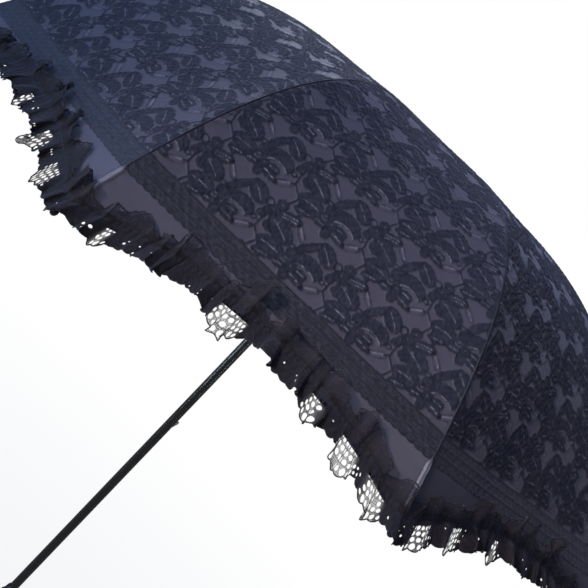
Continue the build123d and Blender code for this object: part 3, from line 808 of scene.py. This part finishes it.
def half_gore(first_arc, low_depth, edge, step, rise):
    """Grid of one half gore, cut off at the seam: points, faces and the border loop.

    The loop runs down the middle, along the last row, up the seam and back along the first.
    """
    upper = np.concatenate([np.arange(first_arc, STRAIGHT_END, step), [STRAIGHT_END]])
    lower = np.linspace(0, 1, int(low_depth / step) + 1)[1:]

    def row_arc(i, off):
        if i < len(upper):
            return np.full(np.shape(off), upper[i])
        return STRAIGHT_END + lower[i - len(upper)] * (edge(off) - STRAIGHT_END)

    offs, arcs, rows, total = [], [], [], 0
    for i in range(len(upper) + len(lower)):
        half = 0.3 * HEM_HALF
        for _ in range(12):  # settles on the offset where the row meets the seam
            half = float(section(row_arc(i, half), rise)[0]) * TAN_H
        count = max(1, int(math.ceil(half / step - 0.35)))
        off = np.minimum(np.arange(count + 1) * step, half)
        off[-1] = half
        offs.append(off)
        arcs.append(row_arc(i, off))
        rows.append((total, count))
        total += count + 1

    quads, tris = [], []
    for (start0, count0), (start1, count1) in zip(rows, rows[1:]):
        j = np.arange(max(count0, count1))
        a, b = start0 + np.minimum(j, count0), start1 + np.minimum(j, count1)
        c, d = start1 + np.minimum(j + 1, count1), start0 + np.minimum(j + 1, count0)
        quads.append(np.stack([a, b, c, d], -1)[(a != d) & (b != c)])
        tris.append(np.stack([a, b, c], -1)[(a == d) & (b != c)])
        tris.append(np.stack([a, b, d], -1)[(a != d) & (b == c)])

    middle = [start for start, _ in rows]
    ends = [start + count for start, count in rows]
    seam = np.zeros(total, bool)
    seam[ends] = True
    last = list(range(middle[-1] + 1, ends[-1] + 1))
    first = list(range(ends[0] - 1, middle[0], -1))
    return SimpleNamespace(
        off=np.concatenate(offs), arc=np.concatenate(arcs), seam=seam,
        quads=np.concatenate(quads), tris=np.concatenate(tris),
        loop=np.array(middle + last + ends[-2::-1] + first), row_count=len(rows))


def satin_edge(off):
    return hem_arc(off) - 2.0


def lace_edge(off):
    """Scalloped lower edge of the lace."""
    return 482.0 - 0.6 + 1.7 * np.abs(np.sin(np.pi * (off + 2.0) / 8.2))


FIRST_ARC = arc_at_radius(7.0)
SATIN_GRID = half_gore(FIRST_ARC, low_depth=72, edge=satin_edge, step=3.0, rise=2.45)
FINE_GRID, MID_GRID = (
    half_gore(FIRST_ARC + 9.0, low_depth=14, edge=lace_edge, step=step, rise=2.7)
    for step in (((0.95, 1.35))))
FINE_PIECES = ((7, 1), (7, -1), (6, 1), (8, -1))


# ---------------------------------------------------------------- satin cloth and lace overlay
def make_cloth(gore, side):
    """Satin sheet of one half gore: outer face, lining and a closed rim."""
    grid = SATIN_GRID
    loop = grid.loop
    n, m = len(grid.off), len(loop)
    sheets = [gore_points(gore, side, grid.off, grid.arc, grid.seam, rise)
              for rise in (2.52, 2.22)]
    points, off, weight = (np.concatenate([top, low, top[loop], low[loop]])
                           for top, low in zip(*sheets))
    arc = np.concatenate([grid.arc, grid.arc, grid.arc[loop], grid.arc[loop]])
    here = np.arange(m)
    after = (here + 1) % m
    rim = 2 * n + np.stack([here, after, after + m, here + m], -1)
    quads = np.concatenate([grid.quads, grid.quads[:, ::-1] + n, rim])
    tris = np.concatenate([grid.tris, grid.tris[:, ::-1] + n])
    n_quads, n_tris = len(grid.quads), len(grid.tris)
    mat_index = np.repeat([0, 1, 0, 0, 1], [n_quads, n_quads, m, n_tris, n_tris])
    name = piece_name(gore, side)
    ob = mesh(name + "_satin", points, flip(quads, side), flip(tris, side), (SATIN, LINING),
              {"pat": np.stack([side * off, arc, np.zeros(len(off))], -1)}, mat_index)
    attach(ob)
    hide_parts(name)


# Each gore starts the lace at another sixth across and fifth down the repeat; gore 7 at none.
shift_rng = np.random.default_rng(11)
LACE_SHIFTS = {k: (shift_rng.integers(0, 6) * CELL_W / 6, shift_rng.integers(0, 5) * CELL_H / 5)
               for k in GORES}
LACE_SHIFTS[7] = (0.0, 0.0)
WARPS = [Waves(20 + i, 900.0, 70, 220, 6) for i in range(4)]
NET_ARC = 458.6  # cord where the motif ends and the border net starts


def make_lace_piece(gore, side):
    grid = FINE_GRID if (gore, side) in FINE_PIECES else MID_GRID
    off, arc = grid.off, grid.arc
    across = side * off
    from_seam = section(arc, 2.7)[0] * TAN_H - off
    # Motif place, gently warped, differently on each gore.
    down, over = arc + 37.0 * gore, across + 37.0 * gore + 300
    pat_x = across + LACE_SHIFTS[gore][0] + 0.9 * WARPS[0](down) + 0.6 * WARPS[1](over)
    pat_y = arc + LACE_SHIFTS[gore][1] + 0.9 * WARPS[2](over) + 0.5 * WARPS[3](down)
    # The border net has a cord on both edges, stripes along it and rows of eyelets.
    to_edge = lace_edge(off) - arc
    band = smoothstep(arc, 457.2, 458.8)
    body, cord, vein = (field * (1 - band) for field in lace_sample(pat_x, pat_y))
    rim = np.maximum(smoothstep(1.3 - np.abs(arc - NET_ARC), 0.0, 0.9),
                     0.7 * smoothstep(1.2 - to_edge, 0.0, 0.9))
    stripe = smoothstep(np.cos((arc - NET_ARC) * 2 * math.pi / 7.6), 0.75, 1.0) * (to_edge > 3.0)
    eyelet = (np.cos(across * 2 * math.pi / 9.6 + 1.3)
              * np.cos((arc - 458) * 2 * math.pi / 11.0))
    cord = np.maximum(cord, np.maximum(rim, 0.7 * stripe * band))
    # Small crumples, stronger in the motif.
    crumple = (np.sin(pat_x * 0.71 + 1.1 * np.sin(pat_y * 0.31))
               * np.sin(pat_y * 0.83 + 1.3 * np.sin(pat_x * 0.27))
               + 0.6 * np.sin(pat_x * 1.33 + pat_y * 0.9 + 2.0)
               * np.sin(pat_y * 1.21 - pat_x * 0.4))
    clear = smoothstep(from_seam, 0.6, 4.0)
    # The vein-glint field raises the threads here; the material also paints them pale as a
    # highlight.
    relief = (0.16 + clear * (0.58 * body + 0.30 * cord + 0.38 * vein
                              + 0.27 * crumple * (0.3 + body))
              + band * (0.2 + 0.16 * eyelet * clear + 0.2 * stripe))
    relief = np.maximum(relief, 0.06)
    top, _, top_weight = gore_points(gore, side, off, arc, grid.seam, 2.55 + relief)

    # Rim down to the cloth along the last row, the seam and the first row.
    loop = grid.loop[grid.row_count - 1:]
    n, m = len(off), len(loop)
    low, _, low_weight = gore_points(gore, side, off[loop], arc[loop], grid.seam[loop], 2.54)
    here = np.arange(m - 1)
    rim_quads = n + np.stack([here, here + 1, m + here + 1, m + here], -1)

    def extend(values):
        return np.concatenate([values, values[loop], values[loop]])

    attrs = {"pat": np.stack([extend(across), extend(arc), np.zeros(n + 2 * m)], -1),
             "lace": extend(np.clip(body, 0, 1)), "cord": extend(cord),
             "vein": extend(vein), "band": extend(band)}
    ob = mesh(piece_name(gore, side) + "_lace", np.concatenate([top, top[loop], low]),
              flip(np.concatenate([grid.quads, rim_quads]), side), flip(grid.tris, side),
              (LACE,), attrs)
    attach(ob)


for gore, side in HALVES:
    make_cloth(gore, side)
    make_lace_piece(gore, side)

# ---------------------------------------------------------------- seams on the ribs
SEAM_START, SEAM_END = arc_at_radius(17.0), 539.0
# distance from the rib plane, height on the lace, height on the plain cloth below it
SEAM_PROFILE = ((0.0, 0.55, 0.35), (0.35, 0.62, 0.75), (0.8, 0.55, 1.05),
                (1.25, 0.32, 1.05), (1.7, 0.12, 0.7), (2.1, 0.0, 0.0))


def make_seam(rib):
    """Felled seam over one rib: each side lies on its own gore."""
    parts = Parts()
    arc = np.arange(SEAM_START, SEAM_END, 1.6)
    plain = smoothstep(arc, 478, 486)
    start = smoothstep(arc, SEAM_START, SEAM_START + 14)
    pucker = 0.5 + 0.5 * np.sin(arc * 2 * math.pi / 5.2 + 0.8 * np.sin(arc / 7))
    n_rows, n_cols = len(arc), len(SEAM_PROFILE)
    distances = np.array([distance for distance, _, _ in SEAM_PROFILE])
    for side in (-1, 1):
        # The seam's own side +1 is gore rib's half b; the other is the next gore's half a.
        gore = rib if side > 0 else (rib % 8) + 1
        lines = []
        for j, (distance, fine, wide) in enumerate(SEAM_PROFILE):
            height = fine * (0.75 + 0.35 * pucker) * (1 - plain) + wide * plain
            sunk = 0.3 if j == n_cols - 1 else 0.0
            rise = 2.72 - 0.12 * plain + height * (0.3 + 0.7 * start) - sunk
            off = section(arc, rise)[0] * TAN_H - distance * (0.55 + 1.0 * plain)
            lines.append(gore_points(gore, side, off, arc, j == 0, rise)[0])
        pat = np.stack([np.tile(distances * 3 * side, n_rows), np.repeat(arc, n_cols),
                        np.zeros(n_rows * n_cols)], -1)
        # tone is 1 on the plain cloth, where the seam material paints a pale highlight.
        parts.add(np.stack(lines, 1), flip(grid_quads(n_rows, n_cols), side), mat=0, pat=pat,
                  tone=np.repeat(plain, n_cols))
        for first in np.arange(SEAM_START + 6, SEAM_END - 2, 3.4):
            stitch = np.array([first, first + 0.7, first + 1.5, first + 2.2])
            low = smoothstep(stitch, 478, 486)
            rise = 2.78 + np.array([-0.1, 0.16, 0.16, -0.1]) - 0.1 * low
            off = section(stitch, rise)[0] * TAN_H - (2.9 + 1.2 * low)
            points = gore_points(gore, side, off, stitch, False, rise)[0]
            parts.add_tube(points, [0.12, 0.2, 0.2, 0.12], 5, mat=1, pat_scale=3.0, tone=0.0)
    ride(parts.make(f"seam_{rib}", (SEAM, THREAD)), f"rib_{rib}")


for rib in GORES:
    make_seam(rib)

# ---------------------------------------------------------------- gathered ruffle
GATHER = 1.75                      # cloth length per length of hem
RUFFLE_W = HEM_HALF * GATHER       # cloth in one half gore
RUFFLE_UP, RUFFLE_DOWN = 15.5, 17.0  # cloth above and below the gather line
FOLDS = round(HEM_LENGTH / 25.0)
AMP_WAVES = Waves(31, HEM_LENGTH, 30, 90, 9)
PHASE_WAVES = Waves(32, HEM_LENGTH, 34, 120, 9)
TOP_WAVES = Waves(33, HEM_LENGTH, 26, 80, 11)
BOTTOM_WAVES = Waves(34, HEM_LENGTH, 16, 60, 11)
TILT_WAVES = Waves(35, HEM_LENGTH, 30, 110, 9)
LEAN_WAVES = Waves(36, HEM_LENGTH, 20, 60, 9)
CRUMPLE_WAVES = Waves(37, HEM_LENGTH, 5, 11, 10)
CREASE_WAVES = Waves(38, HEM_LENGTH, 6, 14, 10)
# Places near the middle of gore 7 where the frill hangs lower: place, width, extra length
DROPS = ((-24, 14, 13.5), (30, 9, 3.0), (68, 10, 7.5), (110, 12, 13.0), (146, 11, 12.5),
         (-140, 11, 4.0), (-95, 9, 2.5), (205, 12, 7.0), (250, 12, 7.0), (-215, 12, 8.0),
         (-262, 12, 7.0))


def extra_drop(place):
    """Extra length of the frill: DROPS near gore 7, seeded waves elsewhere."""
    total = 3.4 * np.maximum(0, BOTTOM_WAVES(place + 400.0) - 0.4) ** 1.3
    from_mid = place - hem_place(7, 1, 0.0)
    total = total * (1 - np.exp(-(from_mid / 150.0) ** 4))
    for centre, width, length in DROPS:
        total = total + length * np.exp(-((from_mid - centre) / width) ** 2)
    return total


def ruffle_points(gore, side, hem_off, cloth_v, extra=0.0):
    """Points and weights; hem_off runs from mid gore to the rib, cloth_v down from the gather."""
    place = hem_place(gore, side, hem_off)
    up = cloth_v < 0
    far = np.clip(np.where(up, -cloth_v / RUFFLE_UP, cloth_v / RUFFLE_DOWN), 0, 1.3)
    # Folds open out away from the gather line.
    phase = (2 * math.pi * FOLDS * place / HEM_LENGTH + 1.5 * PHASE_WAVES(place)
             + np.where(up, 0.5, -0.4) * far * LEAN_WAVES(place))
    depth = (np.where(up, 2.5, 3.4) * (1.0 + 0.42 * AMP_WAVES(place))
             * (0.16 + 0.95 * far ** 0.75))
    depth = np.clip(depth, 0.5, 6.5)
    # Sideways loop of the folds, held at the middle and at the rib.
    loop = np.where(up, 0.8, 0.5) * depth
    free = smoothstep(hem_off, 0.0, 8.0) * smoothstep(HEM_HALF - hem_off, 0.0, 10.0)
    sideways = side * (-loop * np.sin(2 * phase) + 2.4 * far * LEAN_WAVES(place + 77)) * free
    # Length above and below the gather line, and how far each part stands off the cloth.
    top = RUFFLE_UP * np.clip(1.0 + 0.30 * TOP_WAVES(place) + 0.14 * np.cos(phase), 0.45, 1.9)
    bottom = RUFFLE_DOWN * (1.0 + 0.07 * BOTTOM_WAVES(place)) + extra_drop(place)
    length = np.where(up, cloth_v / RUFFLE_UP * top, cloth_v / RUFFLE_DOWN * bottom)
    tilt = np.where(up, 0.14 + 0.12 * TILT_WAVES(place) + 0.14 * np.sin(phase),
                    0.12 + 0.12 * TILT_WAVES(place + 500) - 0.08 * np.sin(phase))
    tilt = np.clip(tilt, 0.02, 0.6)
    # Height over the canopy: gathers, folds, tilt and crumples.
    gathers = (np.sin(place * 2 * math.pi / 5.3 + 1.5 * np.sin(place / 9.0))
               * np.exp(-np.abs(cloth_v) / 5.0))
    rise = (2.2 + 0.45 * gathers + depth * (1 + np.sin(phase)) * 0.95
            + np.abs(length) * np.sin(tilt) * 0.6)
    crease = CREASE_WAVES(place * 1.0 - cloth_v * 3.3 + 900)
    rise = (rise + 0.28 * far * CRUMPLE_WAVES(place + cloth_v * 2.1)
            + 0.34 * crease * (0.3 + 0.6 * far) + extra)
    rise = np.clip(rise, 1.2, 18.0)
    arc = (hem_arc(hem_off) - 8.0 + length * np.cos(tilt)
           + 0.14 * far * CRUMPLE_WAVES(place * 1.0 + 300 + cloth_v))
    x, z, _ = section(arc, 2.6 + rise)
    half = x * TAN_H
    off = np.clip(hem_off / HEM_HALF * half + sideways * side, 0.0, half)
    off = np.where(hem_off <= 1e-6, 0.0, np.where(hem_off >= HEM_HALF - 1e-6, half, off))
    z = z - 0.14 * np.maximum(0.0, arc - hem_arc(hem_off))
    weight = fold_weight(x, z, half - off, half, np.minimum(arc, 545.0))
    return to_world(gore, side, x, off, z), weight


CELLS_ACROSS = int(round(RUFFLE_W / 4.6))
CELLS_UP, CELLS_DOWN = 4, 5
RUFFLE_CELL = RUFFLE_W / CELLS_ACROSS


def scallop(cloth_u):
    return 1.5 * np.abs(np.sin(np.pi * cloth_u / (2 * RUFFLE_CELL)))


def opening_size(row, drop, chance):
    """Size of the opening in a lattice cell, or 0 where the cell is closed."""
    above_edge = CELLS_UP + CELLS_DOWN - 1 - row
    if ((drop > 5.5 and above_edge < 4 and chance > 0.08)
            or (drop > 3.2 and above_edge < 2 and chance > 0.4)
            or (above_edge == 1 and chance > 0.9)):
        return 0.86 if drop > 5.5 else 0.7
    at_top = row == 0 and chance > 0.6
    between = row not in (CELLS_UP - 1, CELLS_UP) and chance > 0.9
    return 0.48 if at_top or between else 0


def ruffle_lattice(gore, side):
    """Flat cloth in staggered cells, some of them open: places across, down, and quads."""
    cols, rows = 2 * CELLS_ACROSS, CELLS_UP + CELLS_DOWN
    heights = np.concatenate([np.linspace(-RUFFLE_UP, 0, 2 * CELLS_UP + 1)[:-1],
                              np.linspace(0, RUFFLE_DOWN, 2 * CELLS_DOWN + 1)])
    grid_u, grid_v = np.meshgrid(np.arange(cols + 1) * RUFFLE_CELL / 2, heights, indexing="ij")
    edge = scallop(grid_u[:, :1])
    grid_v[:, -2:] += edge * np.array([0.5, 1.0])
    grid_v[:, :2] -= edge * np.array([1.0, 0.5])
    cloth_u, cloth_v = list(grid_u.ravel()), list(grid_v.ravel())
    idx = np.arange(grid_u.size).reshape(grid_u.shape)
    quads = []
    rng = np.random.default_rng(900 + 2 * gore + (side > 0))
    for row in range(rows):
        shift, j = row % 2, 2 * row
        if shift:  # half cells at both ends of a staggered row
            for i in (0, cols - 1):
                for j2 in (j, j + 1):
                    quads.append((idx[i, j2], idx[i, j2 + 1], idx[i + 1, j2 + 1], idx[i + 1, j2]))
        for i in range(shift, cols - 1, 2):
            ring = [idx[i, j], idx[i, j + 1], idx[i, j + 2], idx[i + 1, j + 2],
                    idx[i + 2, j + 2], idx[i + 2, j + 1], idx[i + 2, j], idx[i + 1, j]]
            place = hem_place(gore, side, cloth_u[idx[i + 1, 0]] / GATHER)
            size = opening_size(row, float(extra_drop(np.array([place]))[0]), rng.random())
            if not size:
                centre = idx[i + 1, j + 1]
                for a in (0, 2, 4, 6):
                    quads.append((ring[a], ring[a + 1], centre, ring[a - 1]))
                continue
            mid_u = sum(cloth_u[a] for a in ring) / 8
            mid_v = sum(cloth_v[a] for a in ring) / 8
            half_h = (cloth_v[idx[i, j + 2]] - cloth_v[idx[i, j]]) / 2
            hole = []
            for a in ring:
                du, dv = cloth_u[a] - mid_u, cloth_v[a] - mid_v
                reach = math.hypot(du / (RUFFLE_CELL / 2), dv / half_h)
                cloth_u.append(mid_u + du / reach * size)
                cloth_v.append(mid_v + dv / reach * size)
                hole.append(len(cloth_u) - 1)
            for a in range(8):
                b = (a + 1) % 8
                quads.append((ring[a], ring[b], hole[b], hole[a]))
    # Centres of open cells are left out.
    used, quads = np.unique(np.array(quads), return_inverse=True)
    return np.array(cloth_u)[used], np.array(cloth_v)[used], quads.reshape(-1, 4)


def make_ruffle_piece(gore, side):
    cloth_u, cloth_v, quads = ruffle_lattice(gore, side)
    hem_off = np.clip(cloth_u / GATHER, 0, HEM_HALF)
    hem_off = np.where(cloth_u >= RUFFLE_W - 1e-6, HEM_HALF, hem_off)
    points, weight = ruffle_points(gore, side, hem_off, cloth_v)
    drop = extra_drop(hem_place(gore, side, hem_off))
    single = np.where(cloth_v > 0, smoothstep(drop, 3.5, 8.5) * smoothstep(cloth_v, 2.0, 7.0),
                      1.15 * smoothstep(-cloth_v, 1.5, 6.0))
    pat = np.stack([cloth_u, cloth_v, np.full(len(cloth_u), gore * 7.0)], -1)
    name = piece_name(gore, side) + "_ruffle"
    ob = mesh(name, points, flip(quads, side), (), (RUFFLE,), {"pat": pat, "open": single})
    attach(ob)
    rounding = ob.modifiers.new("round", "SUBSURF")
    rounding.levels = rounding.render_levels = 1
    thicken(ob)

    # Cords on both edges and two gathering stitches beside the gather line.
    parts, weights = Parts(), []
    line_u = np.linspace(0, RUFFLE_W, CELLS_ACROSS * 4 + 1)
    line_off = np.clip(line_u / GATHER, 0, HEM_HALF)
    line_off[-1] = HEM_HALF
    edge = scallop(line_u)
    bobbing = 0.35 * np.sin(line_u * 2 * math.pi / 3.2)
    # place down the cloth, extra height, radius, sides, material, pattern scale
    strands = (
        (-RUFFLE_UP - edge, 0.0, 0.42, 6, 0, 1.0),
        (RUFFLE_DOWN + edge, 0.0, 0.45, 6, 0, 1.0),
        (np.full_like(line_off, -1.2), bobbing, 0.28, 5, 1, 3.0),
        (np.full_like(line_off, 1.2), bobbing, 0.28, 5, 1, 3.0),
    )
    for line_v, extra, radius, sides, mat, pat_scale in strands:
        points, weight = ruffle_points(gore, side, line_off, line_v, extra)
        parts.add_tube(points, radius, sides, mat, pat_scale)
        weights += [np.repeat(weight, sides), weight[:1], weight[-1:]]
    attach(parts.make(name + "_cord", (CORD, THREAD)))


for gore, side in HALVES:
    make_ruffle_piece(gore, side)

# ---------------------------------------------------------------- closing strap
STRAP_GORE, STRAP_OFF, STRAP_HALF = 3, 11.0, 5.0
STRAP_START = float(np.interp(0.85, SHARES, ARCS))
STRAP_END = float(np.interp(1 - 2.0 / 572.0, SHARES, ARCS)) + 10.0
# radius and height of the snap, from its rolled edge to its domed middle
SNAP_PROFILE = ((3.2, -0.3), (3.4, 0.1), (3.2, 0.5), (2.9, 0.55), (2.7, 0.5), (2.2, 0.85),
                (1.4, 1.05), (0.6, 1.12), (0.02, 1.14))
SNAP_SIDES = 24


def strap_world(x, off, z):
    return to_world(STRAP_GORE, 1, x, off, z)


def add_band(parts):
    arc = np.linspace(STRAP_START + 0.6, STRAP_END, 44)
    across = np.linspace(-STRAP_HALF, STRAP_HALF, 11)
    rounding = np.clip(1 - np.clip((arc - (STRAP_END - 5)) / 5.0, 0, 1) ** 2, 0.02, 1)
    faces = ([], [])
    for off in across:
        edge = 1 - (abs(off) / STRAP_HALF) ** 6
        wavy = 0.12 * np.sin(arc / 6.0) + 0.08 * np.sin(arc / 2.3 + off)
        for lines, rise in zip(faces, (13.55 + 0.42 * edge + wavy, 13.45 - 0.36 * edge + wavy)):
            x, z, _ = section(arc, rise)
            lines.append(strap_world(x, STRAP_OFF + off * np.sqrt(rounding), z))
    rows, cols = len(arc), len(across)
    n = rows * cols
    quads = grid_quads(rows, cols)[:, TURNED]
    idx = np.arange(n).reshape(rows, cols)
    loop = np.concatenate([idx[:, 0], idx[-1, 1:], idx[-2::-1, -1], idx[0, -2:0:-1]])
    after = np.roll(loop, -1)
    rim = np.stack([loop, after, after + n, loop + n], -1)[:, ::-1]
    pat = np.stack([np.tile(across, 2 * rows), np.tile(np.repeat(arc, cols), 2),
                    np.zeros(2 * n)], -1)
    parts.add(np.concatenate([np.stack(lines, 1).reshape(-1, 3) for lines in faces]),
              np.concatenate([quads, quads[:, ::-1] + n, rim]), mat=0, pat=pat)


def add_snap(parts):
    """Domed cap near the free end."""
    x, z, slope = section(STRAP_END - 8.0, 14.0)
    centre = strap_world(x, STRAP_OFF, z)
    normal = strap_world(np.sin(slope), 0.0, np.cos(slope))
    along = strap_world(np.cos(slope), 0.0, -np.sin(slope))
    across = np.cross(normal, along)
    angle = (np.arange(SNAP_SIDES) * 2 * math.pi / SNAP_SIDES)[:, None]
    points = np.concatenate([
        centre + radius * (np.cos(angle) * along + np.sin(angle) * across) + height * normal
        for radius, height in SNAP_PROFILE])
    parts.add(points, grid_quads(len(SNAP_PROFILE), SNAP_SIDES, close_cols=True), mat=2,
              pat=points)


def make_strap():
    """Fabric band with stitches along both edges and a snap."""
    parts = Parts()
    add_band(parts)
    for off in (-4.1, 4.1):
        for first in np.arange(STRAP_START + 2, STRAP_END - 6, 3.0):
            arc = np.array([first, first + 0.7, first + 1.4, first + 2.1])
            rise = 13.95 + np.array([-0.15, 0.12, 0.12, -0.15]) + 0.12 * np.sin(arc / 6.0)
            x, z, _ = section(arc, rise)
            parts.add_tube(strap_world(x, np.full(4, STRAP_OFF + off), z),
                           [0.1, 0.18, 0.18, 0.1], 5, mat=1, pat_scale=3)
    add_snap(parts)
    ob = parts.make("strap_band", (PIPING, THREAD, TRIM))
    ride(ob, "strap")
    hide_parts("closing_strap")


make_strap()

# ---------------------------------------------------------------- crown frill
FRILL_IN, FRILL_WIDTH = 10.1, 14.9
FRILL_RINGS, FRILL_SIDES, FRILL_FOLDS = 12, 288, 26


def make_frill():
    """Gathered ring round the crown with a cord on its scalloped edge."""
    angle = np.arange(FRILL_SIDES) * 2 * math.pi / FRILL_SIDES
    radii = np.linspace(FRILL_IN, FRILL_IN + FRILL_WIDTH, FRILL_RINGS)
    rings = []
    for i, radius in enumerate(radii):
        share = (radius - FRILL_IN) / FRILL_WIDTH
        depth = 0.25 + 1.5 * share
        wobble = 1 + 0.05 * share * np.sin(angle * 5 + 1)
        z = (HINGE_Z + 6.0 + 0.3 - 1.0 * share * share
             + depth * (1 + np.sin(angle * FRILL_FOLDS + 0.8 * np.sin(angle * 3))))
        edge = 1.0 * np.abs(np.sin(angle * 36)) * (i == FRILL_RINGS - 1)
        twice = np.sin(2 * FRILL_FOLDS * angle)
        reach = (radius + edge) * wobble + 0.5 * share * twice
        turn = angle + 0.03 * share * twice
        rings.append(np.stack([reach * np.cos(turn), reach * np.sin(turn), z], -1))
    pat = np.stack([np.tile(angle * 18, FRILL_RINGS), np.repeat(radii, FRILL_SIDES),
                    np.zeros(FRILL_RINGS * FRILL_SIDES)], -1)
    quads = grid_quads(FRILL_RINGS, FRILL_SIDES, close_cols=True)[:, TURNED]
    ob = mesh("crown_frill", np.concatenate(rings), quads, (), (CORD,), {"pat": pat})
    thicken(ob)
    ride(ob, "frame")
    verts, quads, tris = tube(rings[-1], 0.4, closed=True)
    ride(mesh("crown_frill_cord", verts, quads, tris, (CORD,), {"pat": verts}), "frame")


make_frill()


# ---------------------------------------------------------------- stage
def make_floor_material():
    """White floor that glows fully to the camera and only a little to other rays."""
    n = Material("floor_pale")
    place = n.node("NewGeometry").outputs["Position"]
    radius = n.node("VectorMath", {0: n.scaled(place, (1, 1, 0))},
                    operation="LENGTH").outputs["Value"]
    speckle = n.noise(place, scale=14.0)
    n.set(Base_Color=n.mix(speckle, (0.86, 0.86, 0.86), (0.9, 0.9, 0.9)),
          Roughness=0.8, Specular_IOR_Level=0.1)
    camera_ray = n.node("LightPath").outputs["Is Camera Ray"]
    strength = n.remap(camera_ray, source=(0.0, 1.0), to=(0.22, 1.0))
    glow = n.node("Emission", {"Color": (1, 1, 1, 1), "Strength": strength}).outputs[0]
    # All glow from 1.6 m out.
    amount = n.remap(radius, source=(0.3, 1.6), to=(0.88, 1.0))
    mixed = n.node("MixShader", {0: amount, 1: n.shader.outputs[0], 2: glow})
    n.put(n.out.inputs[0], mixed.outputs[0])
    return n.material


def make_floor():
    sides, z = 96, -1.0
    angle = np.arange(sides) * 2 * math.pi / sides
    radii = [0.4, 0.9, 1.6, 3.0, 8.0, 30.0]  # metres
    verts = np.concatenate([[[0, 0, z]]] + [
        np.stack([r * 1000 * np.cos(angle), r * 1000 * np.sin(angle), np.full(sides, z)], -1)
        for r in radii])
    quads = 1 + grid_quads(len(radii), sides, close_cols=True)[:, TURNED]
    tris = [(0, 1 + j, 1 + (j + 1) % sides) for j in range(sides)]
    mesh("floor", verts, quads, tris, (make_floor_material(),))


def make_world():
    """White to the camera; dim blue light, brighter towards -x and up, to everything else."""
    world = bpy.data.worlds.new("studio")
    scene.world = world
    world.use_nodes = True
    n = Graph(world.node_tree)
    direction = n.node("TexCoord").outputs["Generated"]
    facing = n.node("VectorMath", {0: direction, 1: (-0.85, -0.15, 0.5)},
                    operation="DOT_PRODUCT").outputs["Value"]
    ramp = n.node("ValToRGB", {0: n.remap(facing, source=(-1.0, 1.0))})
    ramp.color_ramp.elements[0].color = (0.05, 0.05, 0.075, 1)
    ramp.color_ramp.elements[1].color = (0.28, 0.38, 0.70, 1)
    light = n.node("Background", {"Color": ramp.outputs[0], "Strength": 0.55}).outputs[0]
    white = n.node("Background", {"Color": (1, 1, 1, 1), "Strength": 1.0}).outputs[0]
    camera_ray = n.node("LightPath").outputs["Is Camera Ray"]
    mixed = n.node("MixShader", {0: camera_ray, 1: light, 2: white}).outputs[0]
    n.node("OutputWorld", {0: mixed})


def add_light(name, kind, location, energy, color, target=(0, 0, 0.65), **settings):
    light = bpy.data.lights.new(name, kind)
    light.energy, light.color = energy, color
    for key, value in settings.items():
        setattr(light, key, value)
    ob = bpy.data.objects.new(name, light)
    ob.location = location
    aim = Vector(target) - Vector(location)
    ob.rotation_euler = aim.to_track_quat("-Z", "Y").to_euler()
    scene.collection.objects.link(ob)


def add_disk(name, location, size, energy, color, **more):
    add_light(name, "AREA", location, energy, color, shape="DISK", size=size, **more)


make_floor()
make_world()
add_disk("key", (-2.5, -0.9, 2.3), size=0.9, energy=36.0, color=(0.24, 0.50, 1.0))
add_disk("front", (-1.1, -2.75, 1.5), size=0.7, energy=5.5, color=(1.0, 0.9, 0.88))
add_light("panel", "SPOT", (-1.72, -2.25, 1.36), energy=410.0, color=(1.0, 0.93, 0.91),
          target=(0.11, -0.34, 0.67), spot_size=math.radians(12.5), spot_blend=1.0,
          shadow_soft_size=0.25)
add_disk("rim", (-1.5, -0.9, 0.25), size=0.3, energy=5.0, color=(0.62, 0.8, 1.0),
         target=(0, 0, 0.3))
add_disk("back", (-1.0, 2.2, 2.0), size=1.3, energy=12.0, color=(0.85, 0.92, 1.0))
add_disk("fill", (1.6, 2.5, 0.9), size=0.9, energy=11.0, color=(0.82, 0.9, 1.0),
         target=(0, 0, 0.6))

# ---------------------------------------------------------------- camera
CAMERA_PLACE = (-0.00782, -1.38, 0.72152)
YAW, PITCH, ROLL = -0.006, -0.093, 0.763  # radians; it looks along +y, slightly down


def make_camera():
    data = bpy.data.cameras.new("cam")
    camera = bpy.data.objects.new("cam", data)
    scene.collection.objects.link(camera)
    data.sensor_width = 36.0
    data.lens = 77.85063
    data.clip_start, data.clip_end = 0.02, 100.0
    cos_y, sin_y, cos_p, sin_p = math.cos(YAW), math.sin(YAW), math.cos(PITCH), math.sin(PITCH)
    forward = Vector((-sin_y * cos_p, cos_y * cos_p, sin_p))
    level = Vector((cos_y, sin_y, 0.0))
    upright = Vector((sin_p * sin_y, -sin_p * cos_y, cos_p))
    right = math.cos(ROLL) * level + math.sin(ROLL) * upright
    up = math.cos(ROLL) * upright - math.sin(ROLL) * level
    rows = [(right[i], up[i], -forward[i], CAMERA_PLACE[i]) for i in range(3)]
    camera.matrix_world = Matrix((*rows, (0, 0, 0, 1)))
    scene.camera = camera


make_camera()
scene.view_settings.view_transform = "Standard"
